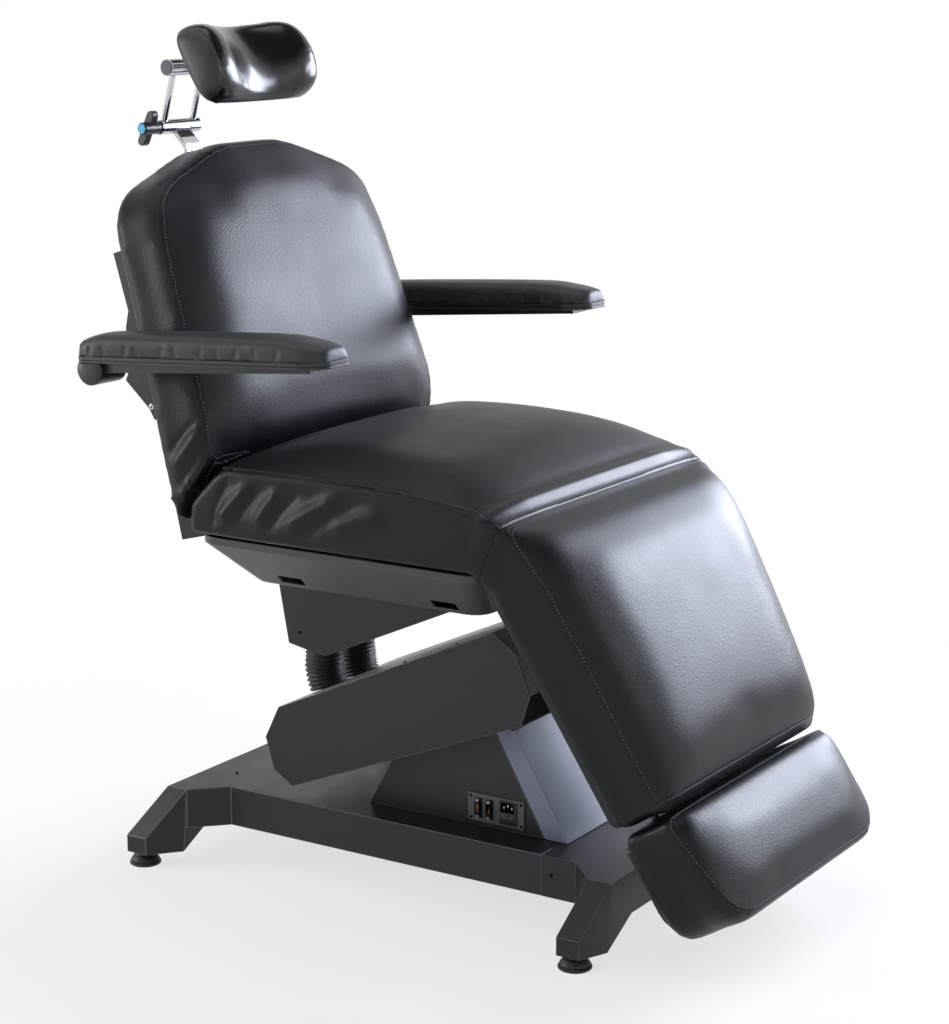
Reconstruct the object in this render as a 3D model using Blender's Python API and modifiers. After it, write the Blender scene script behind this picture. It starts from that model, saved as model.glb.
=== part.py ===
"""Powered treatment chair: base, lift arm, seat, back, leg rest, footrest, armrests and headrest.

Metres, +Z up, +X towards the feet, +Y towards the sitter's left.  Lengths are measured from the
middle of the four feet, and the whole chair is then moved along X so that its box is centred.
The chair is drawn at its lowest height, with the back upright and the leg rest down.
"""

from math import atan2, cos, pi, radians, sin, tan

import bmesh
import bpy
from mathutils import Matrix, Vector

# Fits
GAP = 0.0003                # between two pieces that touch
RUN = 0.0003                # radial clearance of a pin in its bore
SHEET = 0.004               # sheet covers

# Place of the base's middle in the chair's own frame
BASE_MIDDLE_X = -0.0604

# Feet and base
FOOT_X = 0.397
FOOT_Y = 0.270
PAD_RADIUS = 0.025
PAD_TOP_RADIUS = 0.017
PAD_HEIGHT = 0.016
NUT_RADIUS = 0.010
STUD_RADIUS = 0.006
STUD_REACH = 0.014          # stud inside the leg
TIP_LOW = 0.022             # underside of a leg's tip
TIP_HIGH = 0.050
TIP_END_Y = 0.292
LEG_WIDTH = 0.038
BASE_TOP = 0.125
BASE_LOW = 0.061
BASE_HALF = 0.190
BASE_REAR = -0.372
BASE_FRONT = 0.438
SHOULDER_Y = 0.240          # where a leg starts to fall
GUSSET = 0.050
BASE_SEAM_X = 0.292
BASE_WALL = 0.006

# Pedestal
FLOOR = BASE_TOP + GAP      # what stands on the base
COVER_HALF = 0.132          # outside of the pedestal's covers
COVER_TOP = 0.330
COVER_REAR_LOW = -0.056
COVER_REAR_HIGH = 0.059
COVER_FRONT_LOW = 0.2637
COVER_FRONT_LEAN = 0.570    # run back for each unit of height
NOSE_LOW = 0.304            # front cover at its foot
NOSE_LEAN = 0.601
NOSE_TOP = 0.286
FRAME_HALF = 0.105          # outside of the pedestal frame's plates
FRAME_PLATE = 0.010
FLANGE = 0.008

# Connectors on the right-hand cover
PANEL_X = (0.1285, 0.2285)
PANEL_Z = (0.133, 0.177)
PANEL_THICK = 0.002
SOCKET_X = (0.1480, 0.1675)
SOCKET_SIZE = (0.0125, 0.0310)
SOCKET_MOUTH = (0.0085, 0.0175)
SOCKET_STAND = 0.006
INLET_X = 0.2000
INLET_SIZE = (0.030, 0.037)
INLET_MOUTH = (0.024, 0.016)
INLET_DEPTH = 0.020
MOUTH_DEPTH = 0.016

# Lift arm
PIVOT = (0.175, 0.358)      # front pivot, X and Z
ARM_LENGTH = 0.402          # front pivot to rear pivot
ARM_TILT = 23.2             # fall of the arm towards the rear, degrees
ARM_CLEAR = 0.008           # arm plates beside the pedestal's covers
ARM_PLATE_INNER = COVER_HALF + ARM_CLEAR
ARM_PLATE = 0.010
ARM_COVER_GAP = 0.018
ARM_COVER_HALF = ARM_PLATE_INNER + ARM_PLATE + ARM_COVER_GAP
ARM_PLATE_HALF_HEIGHT = 0.028
ARM_REAR_TOP = (-0.385, 0.0635)
ARM_FRONT_TOP = (0.050, 0.0715)
SHAFT_RADIUS = 0.012
REAR_SHAFT_RADIUS = 0.008
CRANK_LENGTH = 0.090
CRANK_LANE = (-0.065, -0.035)
ROLLER_RADIUS = 0.014
ROLLER_CLEARANCE = 0.0010   # the lift rod's pad under the crank
LINK_RISE = 0.045           # level link above the arm's pivots
LINK_HALF_HEIGHT = 0.011
LINK_HALF = 0.011
LINK_PIN_RADIUS = 0.006

# Seat carrier
POST_Y = 0.0435
POST_RADIUS = 0.013
COLLAR_RADIUS = 0.030
COLLAR_LOW = 0.396
COLLAR_THICK = 0.006
CARRIER_TOP = 0.4782
CARRIER_PLATE = 0.008
CARRIER_HALF = 0.120
CARRIER_SHEET = 0.003
CARRIER_REAR = ((-0.0455, CARRIER_TOP), (-0.0225, 0.356), (0.0095, 0.350), (0.0495, 0.345))   # X from the posts
CARRIER_FRONT = ((0.089, 0.450), (0.152, CARRIER_TOP))
BELLOWS_RADIUS = 0.032
BELLOWS_VALLEY = 0.0275
BELLOWS_BORE = 0.0235
BELLOWS_RIBS = 19
BELLOWS_BEND = 0.100        # bend radius of the bellows' axis above the arm

# Seat
PAN_LOW = CARRIER_TOP + GAP
PAN_RIM = 0.545
PAN_TOP = 0.5562
PAN_FLOOR = (-0.215, 0.205, 0.215)      # rear, front, half width
PAN_EDGE = (-0.268, 0.236, 0.280)
PAN_WALL = 0.004
PAN_CORNER = 0.030
SLOT_X = (-0.129, 0.147)
SLOT_SIZE = (0.044, 0.012)
BOARD = 0.008
BOARD_HALF = 0.268
SEAT_BOTTOM = PAN_TOP + 2 * GAP + BOARD
SEAT_HALF = 0.3095
SEAT_REAR = -0.262
SEAT_TOP = 0.673
SEAT_CROWN = 0.038
SEAT_RAIL_Y = 0.135

# Knee hinge, under the seam of the seat and the leg cushion
KNEE = (0.2855, 0.631)
KNEE_LEAN = 22.5            # lean of the hinge leaves, degrees from upright
KNUCKLE_RADIUS = 0.0042
KNEE_PIN_RADIUS = 0.0020
LEAF = 0.002
LEAF_CLEAR = 0.0005
LEAF_HALF = 0.220
KNUCKLES = 5
CUSHION_CLEAR = 0.0047      # cushion ends from the hinge's middle plane

# Leg rest and footrest, in the leg rest's frame: X out of the front, Z up the leg
LEG_TILT = 30.0             # degrees from upright
LEG_LENGTH = 0.452
LEG_SEAM = 0.030
LEG_BACK = -0.0624
LEG_CROWN = 0.038
LEG_HALF_TOP = 0.302
LEG_HALF_LOW = 0.262
LEG_BOARD = 0.0098
LEG_LEVER = 0.110           # knee to the actuator's pin
FOOT_GAP = 0.018            # leg cushion to footrest
FOOT_LENGTH = 0.166
FOOT_TOP = LEG_LENGTH + FOOT_GAP
FOOT_LOW = FOOT_TOP + FOOT_LENGTH
FOOT_SEAM_TOP = 0.020
FOOT_SEAM_LOW = 0.052
FOOT_CROWN = 0.015
FOOT_HALF = 0.259
GUIDE_Y = 0.120
GUIDE_X = -0.0835
GUIDE_ROD = 0.006
GUIDE_BLOCK = 0.010
GUIDE_LENGTH = 0.130
GUIDE_END = 0.022           # guide blocks from the leg cushion's lower end
GUIDE_SPAN = (LEG_LENGTH - GUIDE_END - GUIDE_LENGTH, LEG_LENGTH - GUIDE_END)
FOOT_ROD_TOP = GUIDE_SPAN[0] + 0.030

# Back, in the back's frame: X out of the front, Z up the back
BACK_HINGE = (-0.295, 0.556)
BACK_TILT = 17.0
BACK_HINGE_TUBE = 0.014
BACK_HINGE_PIN = 0.008
LUG_Y = (0.226, 0.234)
HINGE_PLATE_Y = (0.236, 0.244)
UPRIGHT_Y = (0.225, 0.2517)
UPRIGHT_X = (-0.018, 0.0120)
UPRIGHT_Z = (0.036, 0.440)
SHELL = 0.0050
BACK_THICK = 0.095
BACK_CROWN = 0.030
BACK_HALF_LOW = 0.304
BACK_HALF_SHOULDER = 0.274
BACK_SHOULDER = 0.506
BACK_PEAK = 0.572
BACK_PEAK_HALF = 0.085
BACK_LOW = 0.012
BACK_LEVER = 0.060
BACK_SWING = 72.0           # degrees of recline
LEG_SWING = 63.0
YOKE_HALF = 0.0130
YOKE_PIN = 0.005
YOKE_CLEAR = 0.0014
YOKE_LANE = (0.045, 0.055)
LEVER_LANE = (0.056, 0.062)
ROD_RADIUS = 0.008

# Armrests, in the armrest's frame: X along the rail, origin on the pivot
ARMREST_Y = 0.365
ARMREST_PIVOT = (0.0036, 0.271)         # in the back's frame
ARMREST_RISE = 3.6
BOSS_RADIUS = 0.024
BOSS_HALF = 0.028
RAIL_HALF = 0.022
RAIL_Z = (-0.005, 0.0097)
RAIL_X = (-0.018, 0.400)
TRAY_THICK = 0.0097
PAD_X = (-0.028, 0.436)
PAD_HALF = 0.0425
PAD_TIP_HALF = 0.031
PAD_THICK = 0.025
PAD_CROWN = 0.006
ARMREST_PIN = 0.008
BRACKET_Y = (0.252, 0.260)

# Headrest
BAR_X = -0.0165             # in the back's frame
BAR_HALF = 0.019
BAR_THICK = 0.007
BAR_LOW = 0.300
BAR_BEND = 0.5944
BARREL = (-0.036, 0.6311)   # lower barrel in the back's frame
BARREL_RADIUS = 0.012
BARREL_END = 0.048
BARREL_MIDDLE = 0.0195
GUIDE_LOW = 0.4103
GUIDE_HIGH = 0.545
LINK_LEAN = 15.3
LINK_LENGTH = 0.0985
LINK_ROD = 0.005
LINK_ROD_Y = 0.036
UPPER_RADIUS = 0.0135
UPPER_END = 0.055
UPPER_MIDDLE = 0.028
AXLE = 0.004
PILLOW_TILT = 30.0
PILLOW_AT = (0.1085, 0.0055)  # pillow's middle from the upper barrel, X and Z
PILLOW_HALF = 0.131
PILLOW_HEIGHT = 0.062
PILLOW_REAR = -0.012
PILLOW_WING = 0.050
PILLOW_HOLLOW = 0.030
PLATE_THICK = 0.0095
KNOB_HUB = 0.010
KNOB_END = -0.088
KNOB_WING = 0.030
KNOB_WING_Y = (-0.080, -0.066)
KNOB_TURN = 25.0
CAP_RADIUS = 0.008
CAP_THICK = 0.0022

ROUND = 16                  # sides of a shaft or a barrel


# Shapes: each function gives a closed mesh

def mesh_from(bm, name="shape"):
    """Mesh of a bmesh, with its faces pointing out."""
    bmesh.ops.recalc_face_normals(bm, faces=bm.faces)
    mesh = bpy.data.meshes.new(name)
    bm.to_mesh(mesh)
    bm.free()
    return mesh


def block(x, y, z):
    """Box between two values on each axis."""
    bm = bmesh.new()
    bmesh.ops.create_cube(bm, size=1.0)
    size = Vector((x[1] - x[0], y[1] - y[0], z[1] - z[0]))
    middle = Vector((x[0] + x[1], y[0] + y[1], z[0] + z[1])) / 2
    bmesh.ops.transform(bm, matrix=Matrix.Translation(middle) @ Matrix.Diagonal((*size, 1)), verts=bm.verts)
    return mesh_from(bm)


def shaft(radius, start, end, sides=ROUND):
    """Cylinder between two points."""
    start, end = Vector(start), Vector(end)
    run = end - start
    turn = Vector((0, 0, 1)).rotation_difference(run).to_matrix().to_4x4()
    bm = bmesh.new()
    bmesh.ops.create_cone(bm, cap_ends=True, segments=sides, radius1=radius, radius2=radius, depth=run.length,
                          matrix=Matrix.Translation((start + end) / 2) @ turn)
    return mesh_from(bm)


def across(radius, at, y, sides=ROUND):
    """Cylinder along Y at an X-Z place."""
    return shaft(radius, (at[0], y[0], at[1]), (at[0], y[1], at[1]), sides)


def hull(points):
    """Convex solid round the points."""
    bm = bmesh.new()
    for point in points:
        bm.verts.new(point)
    bmesh.ops.convex_hull(bm, input=bm.verts)
    bmesh.ops.dissolve_limit(bm, angle_limit=radians(0.5), verts=bm.verts, edges=bm.edges)
    return mesh_from(bm)


def from_curve(curve, place):
    """Closed mesh of a curve, with its caps welded and its place applied."""
    holder = bpy.data.objects.new("curve", curve)
    bpy.context.scene.collection.objects.link(holder)
    graph = bpy.context.evaluated_depsgraph_get()
    drawn = bpy.data.meshes.new_from_object(holder.evaluated_get(graph))
    bpy.data.objects.remove(holder)
    bm = bmesh.new()
    bm.from_mesh(drawn)
    bmesh.ops.remove_doubles(bm, verts=bm.verts, dist=1e-6)
    bmesh.ops.transform(bm, matrix=place, verts=bm.verts)
    bpy.data.meshes.remove(drawn)
    return mesh_from(bm)


# A flat outline is drawn in the X-Y plane and then turned to face along the named axis.
FACING = {
    "Z": Matrix.Identity(4),
    "Y": Matrix(((1, 0, 0, 0), (0, 0, 1, 0), (0, 1, 0, 0), (0, 0, 0, 1))),
    "X": Matrix(((0, 0, 1, 0), (1, 0, 0, 0), (0, 1, 0, 0), (0, 0, 0, 1))),
}


def plate(outline, span, facing="Y"):
    """Flat outline with a thickness: X-Z outline facing Y, Y-Z outline facing X or X-Y outline facing Z."""
    curve = bpy.data.curves.new("outline", "CURVE")
    curve.dimensions = "2D"
    curve.fill_mode = "BOTH"
    curve.extrude = abs(span[1] - span[0]) / 2
    spline = curve.splines.new("POLY")
    spline.points.add(len(outline) - 1)
    for point, (u, v) in zip(spline.points, outline):
        point.co = (u, v, 0, 1)
    spline.use_cyclic_u = True
    return from_curve(curve, FACING[facing] @ Matrix.Translation((0, 0, sum(span) / 2)))


def swept(points, radii, resolution=2):
    """Round tube through the points, with its own radius at each one."""
    curve = bpy.data.curves.new("tube", "CURVE")
    curve.dimensions = "3D"
    curve.bevel_depth = 1.0
    curve.bevel_resolution = resolution
    curve.use_fill_caps = True
    spline = curve.splines.new("POLY")
    spline.points.add(len(points) - 1)
    for point, place, radius in zip(spline.points, points, radii):
        point.co = (*place, 1)
        point.radius = radius
    return from_curve(curve, Matrix.Identity(4))


def turned(profile, place, steps=ROUND):
    """Solid of revolution about Z from (radius, height) points, top to bottom."""
    mesh = bpy.data.meshes.new("profile")
    mesh.from_pydata([(r, 0, z) for r, z in profile], [(i, i + 1) for i in range(len(profile) - 1)], [])
    holder = bpy.data.objects.new("profile", mesh)
    bpy.context.scene.collection.objects.link(holder)
    screw = holder.modifiers.new("Screw", "SCREW")
    screw.steps = screw.render_steps = steps
    screw.use_merge_vertices = True
    screw.merge_threshold = 1e-5
    graph = bpy.context.evaluated_depsgraph_get()
    drawn = bpy.data.meshes.new_from_object(holder.evaluated_get(graph))
    bpy.data.objects.remove(holder)
    bm = bmesh.new()
    bm.from_mesh(drawn)
    bmesh.ops.transform(bm, matrix=Matrix.Translation(place), verts=bm.verts)
    return mesh_from(bm)


def loft(rings):
    """Closed skin through rings of equal counts, capped at both ends."""
    bm = bmesh.new()
    rows = [[bm.verts.new(point) for point in ring] for ring in rings]
    for low, high in zip(rows, rows[1:]):
        for i in range(len(low)):
            bm.faces.new((low[i - 1], low[i], high[i], high[i - 1]))
    bm.faces.new(rows[0])
    bm.faces.new(rows[-1])
    return mesh_from(bm)


def rounded(corners, steps=4):
    """Outline whose corners (u, v, radius) are turned into arcs."""
    outline = []
    for i, (u, v, radius) in enumerate(corners):
        here = Vector((u, v))
        before = (Vector(corners[i - 1][:2]) - here).normalized()
        after = (Vector(corners[(i + 1) % len(corners)][:2]) - here).normalized()
        half = before.angle(after) / 2
        if radius == 0 or half > radians(89.5):
            outline.append((u, v))
            continue
        centre = here + (before + after).normalized() * radius / sin(half)
        first = here + before * radius / tan(half) - centre
        last = here + after * radius / tan(half) - centre
        turn = first.angle_signed(last)
        for k in range(steps + 1):
            spoke = first.copy()
            spoke.rotate(Matrix.Rotation(-turn * k / steps, 2))
            outline.append(tuple(centre + spoke))
    return outline


def split(outline, longest):
    """Outline with every straight run cut into pieces no longer than a given length."""
    points = []
    for i, point in enumerate(outline):
        start, end = Vector(point), Vector(outline[(i + 1) % len(outline)])
        count = max(1, round((end - start).length / longest))
        points += [tuple(start.lerp(end, k / count)) for k in range(count)]
    return points


def capsule(start, end, radius_start, radius_end, steps=6):
    """Outline of a link with two round ends."""
    a, b = Vector(start), Vector(end)
    heading = atan2(b.y - a.y, b.x - a.x)
    outline = []
    for middle, radius, first in ((a, radius_start, heading + pi / 2), (b, radius_end, heading - pi / 2)):
        for k in range(steps + 1):
            angle = first + pi * k / steps
            outline.append((middle.x + radius * cos(angle), middle.y + radius * sin(angle)))
    return outline


def pad(outline, back, depth, crown, drawn_in, place):
    """Upholstered pad: flat back, sides drawn in between two edges, crowned front.

    depth(v) is the seam's distance from the back, and place(u, v, n) sets a point in its frame.
    """
    centre = sum((Vector(point) for point in outline), Vector((0, 0))) / len(outline)
    reach = sum((Vector(point) - centre).length for point in outline) / len(outline)

    def ring(shrink, height, rise):
        points = []
        for point in outline:
            u, v = centre + (Vector(point) - centre) * (1 - shrink)
            points.append(place(u, v, back + depth(v) * height + crown * rise))
        return points

    pull = drawn_in / reach
    rings = [ring(1.2 * pull, 0.0, 0), ring(0, 0.10, 0), ring(pull, 0.5, 0), ring(0, 0.90, 0), ring(pull, 1.0, 0.03)]
    for scale, rise in ((0.965, 0.36), (0.92, 0.60), (0.82, 0.82), (0.62, 0.96), (0.32, 1.0)):
        rings.append(ring(1 - scale, 1.0, rise))
    return loft(rings)


# Bodies: an empty on each joint's axis carries the pieces that move with it

def lean(at, tilt):
    """Frame at an X-Z place, turned about Y by an angle in degrees."""
    return Matrix.Translation((at[0], 0, at[1])) @ Matrix.Rotation(radians(tilt), 4, "Y")


def point_in(frame, at):
    """X-Z place in the chair's frame of an X-Z place in a leaning frame."""
    place = frame @ Vector((at[0], 0, at[1]))
    return place.x, place.z


ARM_FRAME = lean(PIVOT, -ARM_TILT)
REAR_PIVOT = point_in(ARM_FRAME, (-ARM_LENGTH, 0))
LINK_FRONT = (PIVOT[0], PIVOT[1] + LINK_RISE)
LINK_REAR = (REAR_PIVOT[0], REAR_PIVOT[1] + LINK_RISE)
BACK_FRAME = lean(BACK_HINGE, -BACK_TILT)
LEG_FRAME = lean(KNEE, -LEG_TILT)
ARMREST_AT = point_in(BACK_FRAME, ARMREST_PIVOT)
ARMREST_FRAME = lean(ARMREST_AT, -ARMREST_RISE)
BARREL_AT = point_in(BACK_FRAME, BARREL)
HEAD_LINK_FRAME = lean(BARREL_AT, LINK_LEAN)
UPPER_AT = point_in(HEAD_LINK_FRAME, (0, LINK_LENGTH))
PILLOW_FRAME = lean((UPPER_AT[0] + PILLOW_AT[0], UPPER_AT[1] + PILLOW_AT[1]), -PILLOW_TILT)
CHAIR = Matrix.Identity(4)

# Name, parent and axis place of each body
BODIES = (
    ("base", None, (0, 0)),
    ("lift_rod", "base", (0, 0)),
    ("lift_arm", "base", PIVOT),
    ("level_link", "base", LINK_FRONT),
    ("seat", "lift_arm", REAR_PIVOT),
    ("back_rod", "seat", (0, 0)),
    ("leg_rod", "seat", (0, 0)),
    ("backrest", "seat", BACK_HINGE),
    ("armrest_right", "backrest", ARMREST_AT),
    ("armrest_left", "backrest", ARMREST_AT),
    ("headrest_post", "backrest", BARREL_AT),
    ("knob", "headrest_post", BARREL_AT),
    ("headrest_link", "headrest_post", BARREL_AT),
    ("headrest_pad", "headrest_link", UPPER_AT),
    ("legrest", "seat", KNEE),
    ("footrest", "legrest", KNEE),
)

for stale in list(bpy.data.objects):
    bpy.data.objects.remove(stale, do_unlink=True)
CHAIR_PARTS = bpy.data.collections.new("treatment_chair")
CUTTERS = bpy.data.collections.new("cutters")
bpy.context.scene.collection.children.link(CHAIR_PARTS)
bpy.context.scene.collection.children.link(CUTTERS)

EMPTIES = {}
for body_name, parent_name, axis_at in BODIES:
    axle = bpy.data.objects.new(body_name + "_axis", None)
    axle.empty_display_size = 0.05
    CHAIR_PARTS.objects.link(axle)
    axle.location = (axis_at[0], 0, axis_at[1])
    if parent_name:
        axle.parent = EMPTIES[parent_name][0]
        axle.matrix_parent_inverse = EMPTIES[parent_name][1].inverted()
    EMPTIES[body_name] = (axle, Matrix.Translation((axis_at[0], 0, axis_at[1])))


def finish(name, colour, roughness, metallic=0.0):
    """Principled material of one finish."""
    material = bpy.data.materials.new(name)
    material.use_nodes = True
    shader = material.node_tree.nodes["Principled BSDF"]
    shader.inputs["Base Color"].default_value = (*colour, 1)
    shader.inputs["Roughness"].default_value = roughness
    shader.inputs["Metallic"].default_value = metallic
    return material


LEATHER = finish("charcoal_leather", (0.022, 0.024, 0.028), 0.45)
GLOSS_LEATHER = finish("black_leather", (0.008, 0.008, 0.009), 0.30)
POWDER_COAT = finish("dark_powder_coat", (0.020, 0.022, 0.028), 0.45, 0.2)
PAN_PLASTIC = finish("grey_plastic", (0.045, 0.046, 0.048), 0.55)
BLACK_PLASTIC = finish("black_plastic", (0.010, 0.010, 0.011), 0.50)
RUBBER = finish("black_rubber", (0.012, 0.012, 0.012), 0.75)
STEEL = finish("steel", (0.45, 0.46, 0.48), 0.40, 1.0)
CHROME = finish("chrome", (0.80, 0.81, 0.83), 0.08, 1.0)
PANEL_GREY = finish("panel_grey", (0.16, 0.165, 0.17), 0.50, 0.3)
BLUE_PLASTIC = finish("blue_plastic", (0.010, 0.250, 0.480), 0.35)


def part(name, mesh, body, material, frame=CHAIR):
    """Named piece on a body, with its mesh drawn in a given frame."""
    mesh.name = name
    mesh.materials.clear()
    mesh.materials.append(material)
    mesh.shade_smooth()
    mesh.set_sharp_from_angle(angle=radians(30))
    piece = bpy.data.objects.new(name, mesh)
    CHAIR_PARTS.objects.link(piece)
    piece.parent, axle = EMPTIES[body]
    piece.matrix_parent_inverse = axle.inverted()
    piece.matrix_basis = frame
    return piece


def combine(piece, mesh, operation):
    """Boolean with a hidden operand that is drawn in the piece's own frame."""
    operand = bpy.data.objects.new(piece.name + "_" + operation.lower(), mesh)
    CUTTERS.objects.link(operand)
    operand.hide_render = True
    operand.display_type = "WIRE"
    operand.parent = piece.parent
    operand.matrix_parent_inverse = piece.matrix_parent_inverse
    operand.matrix_basis = piece.matrix_basis
    boolean = piece.modifiers.new(operation, "BOOLEAN")
    boolean.operation = operation
    boolean.solver = "EXACT"
    boolean.object = operand


def join(piece, *meshes):
    for mesh in meshes:
        combine(piece, mesh, "UNION")


def cut(piece, *meshes):
    for mesh in meshes:
        combine(piece, mesh, "DIFFERENCE")


def mirrored(span, side):
    """Y span on one side of the chair."""
    return tuple(sorted((span[0] * side, span[1] * side)))


SIDES = (("right", -1), ("left", 1))


# Base and feet

def base_outline():
    rear, front = BASE_REAR + LEG_WIDTH, BASE_FRONT - LEG_WIDTH
    half = [(BASE_REAR, SHOULDER_Y), (rear, SHOULDER_Y), (rear + GUSSET, BASE_HALF),
            (front - GUSSET, BASE_HALF), (front, SHOULDER_Y), (BASE_FRONT, SHOULDER_Y)]
    return half + [(x, -y) for x, y in reversed(half)]


def leg(end, side):
    """Falling leg from the platform's shoulder down to its tip over a foot."""
    root_x = BASE_REAR + LEG_WIDTH / 2 if end < 0 else BASE_FRONT - LEG_WIDTH / 2
    tip_x = end * FOOT_X
    inner_y = BASE_HALF - 2 * BASE_WALL
    heel_y = FOOT_Y - PAD_RADIUS
    heel_x = root_x + (tip_x - root_x) * (heel_y - SHOULDER_Y) / (TIP_END_Y - SHOULDER_Y)
    corners = ((root_x, inner_y, BASE_LOW), (root_x, inner_y, BASE_TOP), (root_x, SHOULDER_Y, BASE_TOP),
               (tip_x, TIP_END_Y, TIP_HIGH), (tip_x, TIP_END_Y, TIP_LOW), (heel_x, heel_y, TIP_LOW))
    return hull([(x + dx, y * side, z) for x, y, z in corners for dx in (-LEG_WIDTH / 2, LEG_WIDTH / 2)])


def base_section(name, end, x_span):
    section = part(name, plate(base_outline(), (BASE_LOW, BASE_TOP), "Z"), "base", POWDER_COAT)
    for side in (-1, 1):
        join(section, leg(end, side))
        top = TIP_LOW + STUD_REACH + GAP
        cut(section, shaft(STUD_RADIUS + RUN, (end * FOOT_X, side * FOOT_Y, 0), (end * FOOT_X, side * FOOT_Y, top)))
    cut(section, block((BASE_REAR + BASE_WALL, BASE_FRONT - BASE_WALL),
                       (BASE_WALL - BASE_HALF, BASE_HALF - BASE_WALL), (0, BASE_TOP - BASE_WALL)))
    combine(section, block(x_span, (-1, 1), (-1, 1)), "INTERSECT")


base_section("base_frame", -1, (-1, BASE_SEAM_X - GAP / 2))
base_section("base_front_section", 1, (BASE_SEAM_X + GAP / 2, 1))

FOOT_PROFILE = ((0, TIP_LOW + STUD_REACH), (STUD_RADIUS, TIP_LOW + STUD_REACH), (STUD_RADIUS, TIP_LOW - GAP),
                (NUT_RADIUS, TIP_LOW - GAP), (NUT_RADIUS, PAD_HEIGHT), (PAD_TOP_RADIUS, PAD_HEIGHT - 0.001),
                (PAD_RADIUS, 0.004), (PAD_RADIUS, 0), (0, 0))
for end_name, end_sign in (("front", 1), ("rear", -1)):
    for side_name, side_sign in SIDES:
        part(f"foot_{end_name}_{side_name}", turned(FOOT_PROFILE, (end_sign * FOOT_X, side_sign * FOOT_Y, 0)),
             "base", RUBBER)


# Pedestal: a welded frame under sheet covers

def nose_x(z):
    """Front of the sloped front cover at a height."""
    return NOSE_LOW - NOSE_LEAN * (z - FLOOR)


def cover_front_x(z):
    """Front edge of a side cover at a height."""
    return COVER_FRONT_LOW - COVER_FRONT_LEAN * (z - FLOOR)


LUG = 0.030                 # round of the frame's plates at the front pivot
frame_top = LINK_FRONT[1] + 0.016
frame_outline = rounded([
    (0.095, FLOOR + FLANGE / 2, 0), (nose_x(FLOOR) - 0.045, FLOOR + FLANGE / 2, 0),
    (nose_x(NOSE_TOP) - 0.020, NOSE_TOP, 0), (PIVOT[0] + LUG, PIVOT[1] - LUG, 0.02),
    (PIVOT[0] + LUG, PIVOT[1] + 0.01, 0.02), (PIVOT[0] + 0.014, frame_top, 0.013),
    (PIVOT[0] - 0.014, frame_top, 0.013), (PIVOT[0] - LUG, PIVOT[1] + 0.01, 0.02), (0.135, 0.28, 0)])
pedestal = part("pedestal_frame", block((0.030, nose_x(FLOOR) - 0.036), (-FRAME_HALF, FRAME_HALF),
                                        (FLOOR, FLOOR + FLANGE)), "base", POWDER_COAT)
for _, side_sign in SIDES:
    span = mirrored((FRAME_HALF - FRAME_PLATE, FRAME_HALF), side_sign)
    join(pedestal, plate(frame_outline, span))
join(pedestal, across(LINK_PIN_RADIUS, LINK_FRONT, (-FRAME_HALF + 0.002, FRAME_HALF - 0.002)))
cut(pedestal, across(SHAFT_RADIUS + RUN, PIVOT, (-COVER_HALF, COVER_HALF)))

cover_outline = ((COVER_REAR_LOW, FLOOR), (COVER_FRONT_LOW, FLOOR),
                 (cover_front_x(COVER_TOP), COVER_TOP), (COVER_REAR_HIGH, COVER_TOP))
covers = {}
for side_name, side_sign in SIDES:
    span = mirrored((COVER_HALF - SHEET, COVER_HALF), side_sign)
    covers[side_name] = part(f"pedestal_cover_{side_name}", plate(cover_outline, span), "base", POWDER_COAT)

nose = part("pedestal_front_cover", plate(
    ((COVER_FRONT_LOW + GAP, FLOOR), (nose_x(FLOOR), FLOOR), (nose_x(NOSE_TOP), NOSE_TOP),
     (cover_front_x(NOSE_TOP) + GAP, NOSE_TOP)), (-COVER_HALF, COVER_HALF)), "base", POWDER_COAT)
below, above = FLOOR - 0.02, NOSE_TOP + 0.02
cut(nose, plate(((0.05, below), (nose_x(below) - SHEET, below), (nose_x(above) - SHEET, above), (0.05, above)),
                (SHEET - COVER_HALF, COVER_HALF - SHEET)))


# Connector panel: two nine-way sockets and the mains inlet, on the right-hand cover

panel_back = -COVER_HALF - GAP
panel_face = panel_back - PANEL_THICK
panel_mid = sum(PANEL_Z) / 2
panel = part("connector_plate", block(PANEL_X, (panel_face, panel_back), PANEL_Z), "base", PANEL_GREY)
inner = -COVER_HALF + MOUTH_DEPTH


def opening_for(x, width, height):
    """Cutter for a connector's body through the panel and the cover."""
    return block((x - width / 2 - GAP, x + width / 2 + GAP), (panel_face - 0.01, inner + 0.01),
                 (panel_mid - height / 2 - GAP, panel_mid + height / 2 + GAP))


for socket_name, socket_x in zip(("handset_socket", "foot_control_socket"), SOCKET_X):
    width, height = SOCKET_SIZE
    mouth_w, mouth_h = SOCKET_MOUTH
    face = panel_face - GAP
    socket = part(socket_name, block((socket_x - width / 2, socket_x + width / 2), (face - 0.0012, face),
                                     (panel_mid - height / 2, panel_mid + height / 2)), "base", STEEL)
    x_span = (socket_x - mouth_w / 2, socket_x + mouth_w / 2)
    z_span = (panel_mid - mouth_h / 2, panel_mid + mouth_h / 2)
    join(socket, block(x_span, (face - SOCKET_STAND, inner), z_span))
    lip = 0.0008
    cut(socket, block((x_span[0] + lip, x_span[1] - lip), (face - SOCKET_STAND - 0.01, face - 0.001),
                      (z_span[0] + lip, z_span[1] - lip)))
    for target in (panel, covers["right"]):
        cut(target, opening_for(socket_x, mouth_w, mouth_h))

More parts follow.
